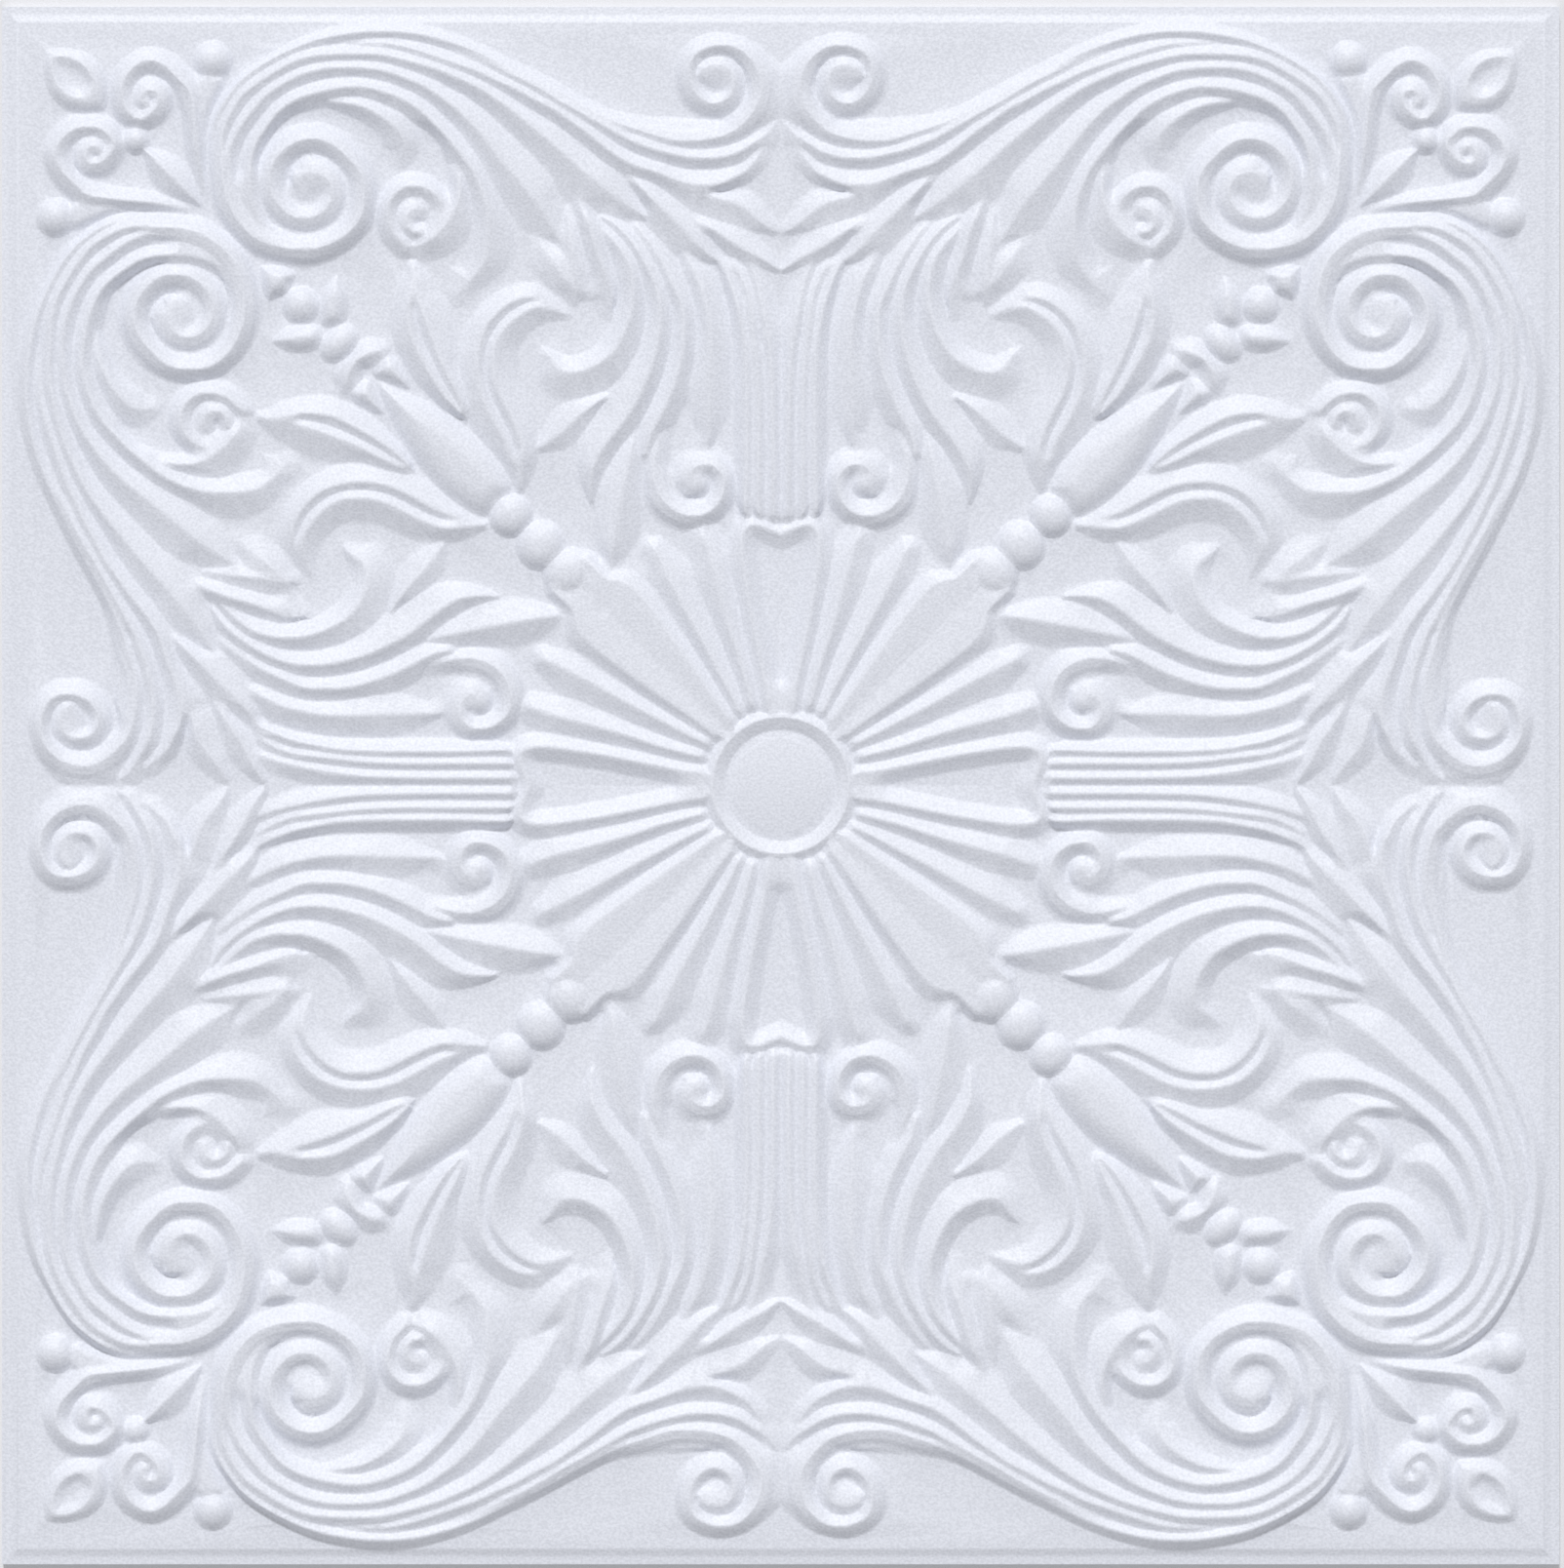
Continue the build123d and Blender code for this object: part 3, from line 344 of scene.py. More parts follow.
# Crest lines: the heights at even spaces along the line, then its points
crests = [
    # ribs over the great scroll, from the outside to the inside
    ((0.8, 3.2, 3.2, 3.2, 3.2, 3, 2.8, 2.8, 3, 3.2),
     [(182.7, 199.8), (182.6, 205.2), (181.5, 211.3), (179, 218.2), (174.6, 224.3), (169.6, 229),
      (163.1, 233.1), (155.9, 236.5), (148.4, 239.2), (140.1, 240.9), (130.8, 241.9), (121, 241.6),
      (111.3, 239.9), (99.5, 236), (87.4, 230.2), (77.3, 225.3), (64, 218), (55, 213.4),
      (49.3, 211.3)]),
    ((1.2, 2.6, 3.6, 3.8, 3.8, 3.8, 3.6, 3.6, 1.3),
     [(110, 237), (102, 234.7), (94.8, 232.2), (87.6, 228.6), (81.8, 225.9), (76.1, 222.7),
      (70.3, 219.2), (63.8, 215.6), (57, 211.7), (51.6, 208.6), (46.2, 206.1), (39.8, 203.8),
      (34, 202.4), (28.6, 201.3), (23.2, 201.1), (17.8, 201.8), (13.1, 203.4), (9.5, 205.6),
      (6.6, 207.4), (3.8, 209.5), (2.3, 212)]),
    ((1.2, 2.6, 3.4, 3.6, 3.8, 4, 4, 4, 3.6, 3.6, 1.3),
     [(146.6, 237.1), (139.4, 237.7), (129, 238), (121.4, 236.9), (113.8, 234.7), (104.5, 231.5),
      (97.3, 229), (91.2, 226.1), (84.7, 223.2), (79, 220), (73.2, 217.1), (67.4, 213.1), (61.3, 208.8),
      (55.2, 203.8), (49.3, 199.9), (45.5, 198.4), (39.8, 196.6), (34.7, 194.6), (29.7, 193),
      (23.2, 192.3), (18.9, 193), (14.6, 195.2), (11.3, 197), (9.2, 199.5), (7, 202.3), (5.6, 204.8)]),
    ((3.4, 3.8, 3.8, 3.8, 3.8, 4, 4, 4, 4, 3.6, 1.3),
     [(179, 198), (179.5, 204.1), (178.6, 210.6), (176.1, 216), (172.5, 221.4), (167.4, 225.4),
      (161.3, 229.3), (155.2, 232.4), (148.4, 234), (139.4, 234.5), (129.7, 234.4), (122.1, 232.9),
      (114.2, 230.8), (108.1, 228.8), (99.5, 225), (93.7, 221.8), (86.5, 216.7), (80.4, 211.7),
      (74.3, 206.8), (68.5, 201.6), (63.1, 196.6), (59.5, 194.1), (54.1, 189.4), (48, 185.4),
      (43.7, 182.6)]),
    ((3.2, 3.8, 3.8, 3.8, 4, 4, 4, 4, 3.6, 1.3),
     [(177.5, 199.8), (176.8, 203.8), (173.9, 210.2), (169.6, 216), (164.9, 221.4), (158.8, 225.4),
      (151.6, 228.6), (143, 230.2), (134, 230), (126.8, 229), (120.3, 226.8), (113.8, 223.9),
      (107.7, 219.8), (102, 215.3), (97, 209.9), (92.3, 203.8), (87.6, 198), (81.8, 191.2),
      (76.8, 184.8), (73.7, 179.6), (71, 175)]),
    ((2.6, 3.8, 3.8, 4, 4, 4, 4, 4, 4, 3.8, 3, 1.3),
     [(166.4, 179.7), (168.2, 182.9), (170.1, 190.1), (170, 198), (168.5, 205.2), (164.9, 211),
      (160.6, 216.4), (155.2, 220), (149.1, 222.1), (143, 223.4), (135.8, 224.1), (128.6, 222.8),
      (121.4, 220.1), (115.6, 216.4), (109.9, 211), (104.5, 204.8), (99.8, 198.8), (96.2, 191.6),
      (94.1, 184), (93.9, 176.8), (94.4, 169.6), (96.2, 166), (99.4, 162), (103, 158.6)]),
    # short leaf inside the ribs
    ((2, 3, 3.6, 3.6, 3.4, 2.6, 1.2),
     [(144.8, 219.4), (139, 218.9), (133.3, 217.4), (127.5, 214.2), (122.5, 209.9), (120.6, 205.6),
      (121, 201.6)]),
    # three leaves by the upright centre line
    ((1.2, 3.6, 3.6, 3.2, 3, 1.3),
     [(50, 197), (46.6, 193.7), (41.2, 188), (35.1, 182.2), (29, 176.4), (24.6, 171.4), (20, 168)]),
    ((1.2, 2.6, 3, 2.6, 2.4, 1.3),
     [(28, 190), (23.6, 189), (16.7, 187.4), (11, 184.7), (7, 181.1), (2.6, 178)]),
    ((1.2, 2.8, 3, 2.6, 2.4, 1.3),
     [(28, 182), (23.9, 179.7), (17.4, 175.4), (11.7, 171.8), (5.9, 168.9), (1, 165.6)]),
    # broad leaf below the ribs
    ((0.8, 2, 2.8, 2.8, 2.4),
     [(77.4, 174), (74.8, 170), (71.8, 166), (68.8, 162), (66, 159.6)]),
    ((0.8, 2.2, 2.8, 2.8, 2.4),
     [(68.6, 184), (67.6, 177), (66.8, 170), (66.2, 164), (65.4, 159)]),
    # long leaves that hang below the ribs
    ((1.2, 3.4, 3.6, 3.4, 2.8, 1.6),
     [(65.4, 188), (63.5, 184.7), (60.6, 177.5), (58.4, 169.6), (55.6, 162), (54.1, 158), (53.8, 155)]),
    ((1.2, 2.8, 3.6, 3.8, 4, 4, 3.8, 3.2, 1.6),
     [(59.6, 181), (56.3, 177.5), (50.9, 171.4), (48.4, 166), (47.3, 158.8), (48, 152), (50.2, 145.5),
      (54.1, 138.7), (59.5, 134.7), (65.3, 132.4), (70.7, 133.3), (74.3, 138.3)]),
    ((1.2, 2.8, 3.6, 3.8, 4, 4, 4, 3.8, 3.6, 1.3),
     [(57, 182.6), (52.3, 179.3), (47.3, 173.6), (42.6, 166), (39.8, 159.2), (38.5, 152.3), (39, 144.8),
      (40.5, 137.6), (42.6, 131.1), (47.3, 121.4), (52, 114.6), (56.3, 109.2), (60.1, 102.3), (61, 95),
      (60.6, 91)]),
    ((1.2, 2.6, 3.4, 3.6, 3.6, 3.6, 3.4, 2.6),
     [(45.9, 179), (41.6, 173.2), (37.6, 166.7), (34.4, 159.9), (31.5, 153), (31.1, 144.8),
      (31.7, 137.6), (33.5, 130.8), (36.2, 123.6), (39, 117.8), (42.1, 111.7), (43.4, 106.4)]),
    ((1.2, 2.6, 3.2, 3.4, 3.4, 3.2, 2.8, 2.4, 1.3),
     [(31.4, 171), (29, 167.4), (25.7, 160.2), (23.6, 152), (22.5, 144.8), (22.5, 134), (22.9, 126.8),
      (22.9, 119.6), (22.9, 114), (23, 109.6)]),
    # three stems by the upright centre line
    ((1.2, 3, 3.2, 3.2, 3.2, 3.2),
     [(20.6, 169.6), (17.4, 163.8), (14.4, 155.9), (12.8, 148.4), (11.5, 141.2), (11, 130.4),
      (10.8, 121.4), (10.8, 108.8), (11.1, 98), (11.6, 88)]),
    ((1.2, 3, 3.2, 3.2, 3.2, 3.2),
     [(15, 167.2), (12.8, 163.1), (10.2, 156.3), (8.6, 143), (7.5, 132.2), (7, 116), (7.2, 104),
      (7.2, 87.4)]),
    ((1.2, 3, 3.2, 3.2, 3.2, 3.2),
     [(10, 167.6), (8.1, 162.4), (6.1, 154.1), (4.3, 144.8), (3, 134), (2.6, 120), (2.4, 104),
      (2.5, 87)]),
    # stalk of the small volute
    ((1.4, 3, 3.4, 3.4, 3.6, 1.3),
     [(104.4, 201.4), (103.4, 196.6), (103, 189.4), (105.2, 183.2), (109.4, 177.6), (114.4, 174),
      (119, 172.6)]),
    # two pairs of leaves that grow from the beads
    ((1.6, 3.4, 3.8, 3.8, 3.8, 3.4, 2.6),
     [(118, 166.4), (117.4, 162.4), (118.6, 157), (119.4, 152), (118.3, 143.7), (115.3, 137.2),
      (111.7, 130.8), (107.4, 124.3), (103, 119.4)]),
    ((2.6, 3.6, 3.6, 3.6, 3.4, 2.6),
     [(117.2, 160), (116, 155.9), (113.8, 148.4), (111, 140.8), (107.7, 133.3), (104.5, 127.2),
      (102, 121)]),
    ((1.6, 3, 3.6, 3.6, 3.6, 3.6, 3.4, 2.6),
     [(74.4, 155), (79.7, 156.6), (85.8, 155.2), (91.2, 151.3), (95.2, 145.5), (97.3, 135.8),
      (95.9, 125.4), (91.2, 115.6), (87.8, 109.5), (86, 103.6)]),
    ((0.8, 2.8, 3.4, 3.6, 3.6, 3.6, 3.4, 3.6, 1.3),
     [(68.4, 151), (74.6, 153.2), (80, 153), (87.2, 148), (91.6, 141.2), (92.3, 134), (90.8, 126.8),
      (87.6, 120.3), (84.7, 114.2), (82.6, 107.7), (83, 101.6), (83.5, 95.4)]),
    # stray leaf and bud leaf
    ((1.6, 2.6, 2.6, 2.2, 1.3),
     [(56, 124.8), (59.5, 122.5), (64.6, 118.5), (70, 113.5), (74, 110.6), (77, 108.6)]),
    ((1.2, 2.6, 3.2, 3.6, 3.6, 3.4, 3.2, 1.3),
     [(46.6, 113), (48, 108.1), (49.8, 98.7), (51.2, 92), (52.6, 84), (53.8, 77), (54.6, 69.6)]),
    # teardrop
    ((2, 3, 3.2, 2.6, 1),
     [(203.5, 203.5), (200.9, 200.9), (192.6, 192.6), (188.7, 188.7), (186.4, 186.4)]),
    # collar
    ((0.6, 2.6, 3.2, 3.4),
     [(125.8, 141.4), (128.6, 139.4), (131.8, 138.7), (134.7, 137.2), (136.2, 136.2)]),
]

# Petals of the middle rosette, with blunt ends.
petals = [
    ((3, 3.6, 3.6, 3.6, 3.4, 3.2),
     [(62.4, 72.6), (59.6, 69.8), (57.4, 67.4), (55, 66), (52, 65.6), (47, 62.8), (42.5, 57.4),
      (36, 48.6), (28.6, 38.2), (22.4, 29.2), (16.4, 21)]),
    ((2.6, 3.4, 3.4, 3.4, 3.2, 3),
     [(40.4, 75.6), (37.6, 70), (34.4, 63.3), (29.6, 54.6), (25.1, 46.4), (20.8, 38.1), (16.6, 30.3),
      (13.6, 24)]),
    ((2.6, 3.4, 3.4, 3.4, 3.2, 3),
     [(25, 79.6), (22.8, 74), (20.8, 66.6), (18.2, 56.5), (15.6, 47.6), (13, 40), (10.9, 32.4),
      (9.4, 26)]),
    ((2.4, 2.8, 3.2, 3.2, 3.2, 3.2, 3, 3),
     [(0, 80.6), (3.6, 82.2), (7.4, 83.6), (10.4, 83.2), (12.2, 80), (12.4, 74.5), (11.5, 67.6),
      (10, 57.5), (8.2, 48.4), (6.4, 39.4), (4.8, 31.4), (4.2, 25.4)]),
]

# Scrolls have a soft step along each flank.
scrolls = [
    # top scroll
    ((2.8, 3.2, 3.6, 3.6, 3.6, 3.2, 3),
     [(62, 216.8), (55, 213.4), (49.3, 211.3), (44.6, 209.8), (39.8, 208.3), (35.4, 207), (30.4, 206.6),
      (24.6, 207), (19.6, 208), (15.3, 209.7), (12.4, 212), (9.2, 215.6), (7, 219.6), (6.1, 223.2),
      (6.8, 227.5), (8.4, 231.5), (11, 234.4), (14.6, 236.7), (19.6, 237.6), (23.9, 236.5),
      (27.2, 234.7), (29, 231.8), (29.5, 228.6), (28.8, 225), (27.2, 221.8), (24.6, 219.6),
      (21.8, 218.5), (18.9, 219.2), (16.4, 221), (15.1, 224.3), (15.3, 227.5), (16.9, 230),
      (19.7, 231.1), (22.6, 230.8), (25, 229.4)]),
    # great scroll
    ((4, 4, 4, 4, 4, 3.8, 3.8, 3.6, 3.4, 3.2),
     [(179, 202), (178.6, 191.9), (176.1, 184.4), (170.3, 176.8), (163.1, 173.2), (154.1, 171.8),
      (147.7, 172.5), (140.1, 176.1), (134.9, 181.8), (133.5, 188.7), (134.5, 195.9), (139.8, 202.5),
      (145.9, 206.6), (151.6, 207.4), (158.1, 204.8), (163.1, 198.8), (163.5, 190.8), (159.5, 184.4),
      (153.4, 181.8), (147.3, 183.6), (143.7, 188.7), (144.8, 194.1), (147.8, 196), (150.4, 196.6)]),
    # inner scroll beside the stems
    ((1.2, 2.6, 3, 3.4, 3.6, 3.6, 3.6, 3.4, 3.2, 3),
     [(38.2, 114), (39.8, 108.1), (40.9, 101.6), (40.4, 97), (37.6, 91), (33, 87.6), (27.7, 86.4),
      (22.5, 88), (19.2, 92), (18.2, 96), (18.6, 99.6), (21.4, 102.4), (25, 103), (28.4, 101.2),
      (29.6, 98.6)]),
    # small volute, its outer and its inner turn
    ((2.2, 3.2, 3.4, 3.4, 3.2, 3, 2.8),
     [(108.4, 183), (109, 186.6), (110.8, 189.6), (114.2, 191.7), (117.8, 192.4), (121.4, 191.6),
      (124.4, 189), (126, 185.4), (125.8, 181.6), (124.3, 177.2), (120.4, 172.9)]),
    ((2.4, 3, 3, 2.8),
     [(116.2, 185), (118.4, 184.6), (120, 182.4), (119.8, 179.6), (117.8, 177.6), (115.6, 177.4)]),
    # corner scroll
    ((0.6, 3.4, 3.6, 3.6, 3.6, 3.6, 3.4, 3.2),
     [(185, 190.6), (186, 196), (186.9, 202), (187.6, 208.8), (188.3, 216), (189.4, 222.4),
      (193.4, 227.2), (198, 231.1), (202.9, 232.6), (208.4, 229.5), (211.3, 223.6), (210.2, 217.1),
      (205.6, 213.5), (200.2, 217.4), (199.4, 221.8), (203, 223), (205.2, 220.6), (204.6, 219)]),
]


def curve(points, step):
    """A smooth line through the given points, with about one sample a step."""
    p = np.array(points, float)
    if len(p) == 2:
        n = max(2, int(np.hypot(*(p[1] - p[0])) / step))
        return p[0] + (p[1] - p[0]) * np.linspace(0, 1, n)[:, None]
    ends = np.vstack([2 * p[0] - p[1], p, 2 * p[-1] - p[-2]])
    out = []
    for i in range(len(p) - 1):
        p0, p1, p2, p3 = ends[i:i + 4]
        n = max(2, int(np.hypot(*(p2 - p1)) / step))
        t = np.linspace(0, 1, n, endpoint=False)[:, None]
        out.append(0.5 * (2 * p1 + (p2 - p0) * t + (2 * p0 - 5 * p1 + 4 * p2 - p3) * t ** 2
                          + (3 * p1 - p0 - 3 * p2 + p3) * t ** 3))
    return np.vstack(out + [p[-1:]])


# Every edge line also stands mirrored, so that leaves on a line of symmetry find it.
edge_start, edge_end, edge_kind = [], [], []
for kind, points in edges:
    line = curve(points, EDGE_STEP)
    for same in (line, line[:, ::-1], line * (-1, 1)):
        edge_start.append(same[:-1])
        edge_end.append(same[1:])
        edge_kind += [kind] * (len(same) - 1)
edge_start, edge_end = np.vstack(edge_start), np.vstack(edge_end)
edge_kind = np.array(edge_kind)


def reach(origin, direction):
    """Distance from a crest point to the first edge line on one side, and its kind."""
    s = edge_end - edge_start
    q = edge_start - origin
    cross = direction[0] * s[:, 1] - direction[1] * s[:, 0]
    cross = np.where(np.abs(cross) < TINY, TINY, cross)
    along = (q[:, 0] * s[:, 1] - q[:, 1] * s[:, 0]) / cross
    across = (q[:, 0] * direction[1] - q[:, 1] * direction[0]) / cross
    hit = (across >= -END_SLACK) & (across <= 1 + END_SLACK)
    hit &= (along > NEAREST_EDGE) & (along < FARTHEST_EDGE)
    if not hit.any():
        return PLAIN_WIDTH, "f"
    i = np.where(hit, along, HUGE).argmin()
    return along[i], edge_kind[i]


def smooth(values):
    """The values along a line, evened out over a few samples."""
    kernel = np.hanning(2 * SMOOTHING + 3)[1:-1]
    padded = np.pad(values, SMOOTHING, mode="edge")
    return np.convolve(padded, kernel / kernel.sum(), "valid")


def window(low, high):
    """The part of the grid between two corners: its place, and a and b there."""
    i0, j0 = np.maximum(((low + PAD) / CELL).astype(int), 0)
    i1, j1 = np.minimum(((high + PAD) / CELL).astype(int) + 2, cells)
    a, b = np.meshgrid(axis[i0:i1], axis[j0:j1], indexing="ij")
    return (slice(i0, i1), slice(j0, j1)), a, b


def blend_in(place, z):
    """Union of two heights with a slight fillet in the valley."""
    old = field[place]
    z = np.maximum(z, BURIED)
    field[place] = np.maximum(old, z) + VALLEY_FILLET * np.exp(-np.abs(old - z) / VALLEY_FILLET) * 0.5


def flank(line, normal, h, narrow):
    """The width of one flank along a crest, and its outer height as a share of the crest's."""
    found = [reach(p, q) for p, q in zip(line, normal)]
    width = np.array([f[0] for f in found])
    kind = np.array([f[1] for f in found])
    middle = [np.median(width[max(0, i - MEDIAN_REACH):i + MEDIAN_REACH + 1]) for i in range(len(line))]
    middle = smooth(np.array(middle)) * narrow
    share = np.clip(1 - VALLEY_SLOPE * middle / np.maximum(h, LOWEST_CREST), DEEPEST, SHALLOWEST)
    return middle, smooth((kind == "v") * share + (kind == "s") * HOLLOW)


def nearest_on(line, a, b):
    """For each grid point, the distance to a line, the place along it and the side."""
    seg = line[1:] - line[:-1]
    length2 = (seg ** 2).sum(1)
    best = np.full(a.shape, HUGE)
    where = np.zeros(a.shape)
    side = np.zeros(a.shape)
    for i in range(len(seg)):
        da, db = a - line[i, 0], b - line[i, 1]
        t = np.clip((da * seg[i, 0] + db * seg[i, 1]) / length2[i], 0, 1)
        d = np.hypot(da - t * seg[i, 0], db - t * seg[i, 1])
        closer = d < best
        best[closer] = d[closer]
        where[closer] = (i + t)[closer]
        side[closer] = (da * seg[i, 1] - db * seg[i, 0])[closer]
    return best, where, side > 0


def draw(heights, points, tip, terrace=0.0):
    """A crest whose flanks reach down to the edge lines on both sides."""
    line = curve(points, CREST_STEP)
    index = np.arange(len(line))
    h = np.interp(np.linspace(0, 1, len(line)), np.linspace(0, 1, len(heights)), heights)
    tangent = np.gradient(line, axis=0)
    tangent /= np.hypot(*tangent.T)[:, None]
    normal = np.stack([tangent[:, 1], -tangent[:, 0]], 1)
    run = np.concatenate([[0], np.cumsum(np.hypot(*np.diff(line, axis=0).T))])
    narrow = tip + (1 - tip) * np.minimum(np.minimum(run, run[-1] - run) / TAPER, 1)
    flanks = [flank(line, normal * sign, h, narrow) for sign in (1, -1)]
    widest = max(width.max() for width, level in flanks) * MARGIN
    place, a, b = window(line.min(0) - widest, line.max(0) + widest)
    best, where, left = nearest_on(line, a, b)
    width, level = (
        np.where(left, np.interp(where, index, one), np.interp(where, index, other))
        for one, other in zip(*flanks)
    )
    d = np.sqrt(best ** 2 + ROUND_CREST ** 2) - ROUND_CREST
    wide = np.clip((width - TERRACE_FROM) / (TERRACE_FULL - TERRACE_FROM), 0, 1)
    wide *= np.clip((width - best) / TERRACE_END, 0, 1)
    d = d + terrace * wide * TERRACE / (2 * pi) * np.sin(2 * pi * d / TERRACE)
    blend_in(place, np.interp(where, index, h) * (1 - d / width * (1 - level)))


def bead(a0, b0, along, across, height, power):
    """A bead; along is its half length on the diagonal direction, across at right angles."""
    big = max(along, across) * BEAD_MARGIN
    place, a, b = window(np.array([a0 - big, b0 - big]), np.array([a0 + big, b0 + big]))
    u = ((a - a0) + (b - b0)) / sqrt(2) / along
    v = ((a - a0) - (b - b0)) / sqrt(2) / across
    r = np.hypot(u, v)
    blend_in(place, height * np.maximum(1 - r ** power, 0) ** FULLNESS - BEAD_DROP * np.maximum(r - 1, 0))


def pillow(height, points, flank_width, bulge):
    """A raised outline with rounded sides, filled inside; a bulge of 1 makes a straight roof."""
    line = curve(points + points[:1], OUTLINE_STEP)
    place, a, b = window(line.min(0) - OUTLINE_MARGIN, line.max(0) + OUTLINE_MARGIN)
    inside = np.zeros(a.shape, bool)
    best = np.full(a.shape, HUGE)
    for p, q in zip(line[:-1], line[1:]):
        s = q - p
        t = np.clip(((a - p[0]) * s[0] + (b - p[1]) * s[1]) / max((s ** 2).sum(), TINY), 0, 1)
        best = np.minimum(best, np.hypot(a - p[0] - t * s[0], b - p[1] - t * s[1]))
        if abs(s[1]) > TINY:
            crossing = (p[1] > b) != (q[1] > b)
            inside ^= crossing & (a < p[0] + (b - p[1]) * s[0] / s[1])
    d = np.where(inside, best, -best)
    t = np.clip(1 - d / flank_width, 0, 1)
    blend_in(place, height * (1 - t ** bulge) + OUTLINE_DROP * np.minimum(d, 0))


def sink(depth, points, flank_width, bulge):
    """An outline sunk into what is there."""
    before = field.copy()
    field[:] = BURIED
    pillow(depth, points, flank_width, bulge)
    field[:] = before - np.maximum(field, 0)


def scroll_end(a0, b0, radius, level, rise):
    """The sloping end of a scroll: a round patch, higher on its far side."""
    place, a, b = window(np.array([a0 - radius, b0 - radius]), np.array([a0 + radius, b0 + radius]))
    share = np.clip(1 - (np.hypot(a - a0, b - b0) / radius) ** 3, 0, 1)
    field[place] += share * (level + rise * (b - b0) - field[place])


def both(half):
    """A closed outline from its half above the diagonal."""
    return half + [(b, a) for a, b in half[:0:-1]]


for heights, points in crests:
    draw(heights, points, LEAF_TIP)
for heights, points in petals:
    draw(heights, points, BLUNT_TIP)
for heights, points in scrolls:
    draw(heights, points, BLUNT_TIP, TERRACE_STRENGTH)

# Beads: a and b of the middle, half length, half width, height and the bulge's power
beads = [
    # corner knob, and the two beads of the finial
    (207, 207, 4.6, 4.6, 3.0, ROUNDED),
    (154, 154, 6.2, 6.2, 3.2, ROUNDED),
    (142, 141.6, 5.2, 7.0, 3.2, ROUNDED),
    # three beads above the petals
    (86.6, 86.6, 6.8, 7.2, 3.6, PLUMP),
    (77, 77, 7.8, 8.2, 3.8, PLUMP),
    (68.2, 68.2, 7.8, 8.6, 3.95, PLUMP),
    # bud beside the corner, and the middle of the inner scroll
    (182.2, 232.6, 6.3, 6.3, 3.6, ROUNDED),
    (27.2, 97, 5.0, 5.0, 3.0, ROUNDED),
]
for values in beads:
    bead(*values)

# Filled outlines
pod = [(130, 130), (124.2, 127.8), (118.5, 125.5), (113.1, 122.9), (106.9, 119.1), (101.1, 114.9),
       (94.6, 109.4), (90.1, 103.9), (87.2, 98.8), (86.7, 94.1)]
drop = [(235.8, 235.8), (231.5, 236.6), (226.5, 236), (221.5, 234.2), (217.8, 230.8), (216, 226.6),
        (215.4, 222), (216.8, 216.8)]
drop_hollow = [(233.6, 233.6), (230.6, 233.9), (227, 233), (223.6, 231), (221.6, 228), (220.6, 224.4)]
bud_stem = [(184, 229.4), (178.4, 227), (180.4, 221), (183.2, 214), (185, 206), (187.6, 214),
            (188.6, 221), (188, 227)]
trefoil = [(167, 167), (162, 166.9), (158.4, 166), (155.4, 164.2), (156.6, 161.6), (157.6, 158.6)]
side_leaf = [(142.4, 164), (146.6, 159.5), (148.1, 155.6), (148.2, 151.6), (147.6, 148.2), (143.8, 146.6),
             (140.1, 148.6), (139, 151.6), (138.7, 155.2), (139.6, 159)]
leaflet = [(131.4, 131.4), (130, 134.7), (127.9, 137.6), (125.4, 138.8), (122.6, 136.8), (121, 133.6),
           (119.4, 130.6), (119.2, 127.2), (123.4, 128.2)]
pillow(3.9, both(pod), 8.6, ROUNDED)
pillow(2.9, both(drop), 5.0, ROUNDED)
sink(2.1, both(drop_hollow), 4.0, ROUNDED)
pillow(1.9, bud_stem, 3.0, ROUNDED)
pillow(3.2, both(trefoil), 3.6, ROOF)
pillow(3.0, side_leaf, 4.0, LOW_ROOF)
pillow(3.2, leaflet, 4.2, ROOF)

# The ends of the great scroll and of the top scroll
scroll_end(152.4, 190.9, 6.6, 1.9, 0.22)
scroll_end(20.9, 225.8, 5.0, 1.9, 0.28)


def fold_over(heights):
    """Fold the strips past the diagonal and the centre lines back, so that the eighths meet."""
    heights = np.maximum(heights, heights.T)
    k = int(round(PAD / CELL))
    for turned in (heights, heights.T):
        turned[k:2 * k + 1] = np.maximum(turned[k:2 * k + 1], turned[:k + 1][::-1])
    return heights[k:, k:]


def blur(values, sigma):
    """The values blurred in both directions, out to three times sigma."""
    size = int(3 * sigma / CELL) + 1
    x = np.arange(-size, size + 1) * CELL
    kernel = np.exp(-x ** 2 / (2 * sigma ** 2))
    kernel /= kernel.sum()
    for side in (0, 1):
        wide = [(size, size) if s == side else (0, 0) for s in (0, 1)]
        padded = np.pad(values, wide, mode="reflect")
        values = np.apply_along_axis(lambda v: np.convolve(v, kernel, "valid"), side, padded)
    return values


relief = fold_over(field)
axis = axis[-len(relief):]
n = len(axis)
ga, gb = np.meshgrid(axis, axis, indexing="ij")
radius = np.hypot(ga, gb)
medallion = np.interp(radius, *zip(*MEDALLION))
relief = np.where(radius < RING_RADIUS, medallion, np.maximum(relief, medallion))
relief = FOOT_FILLET * np.logaddexp(0, relief / FOOT_FILLET)
relief = blur(np.minimum(relief, HIGHEST_CREST), RELIEF_BLUR)
rim = np.interp(HALF - np.maximum(ga, gb), *zip(*RIM))
surface = np.minimum(blur(rim, RIM_BLUR) + relief, TOP - CLEARANCE)


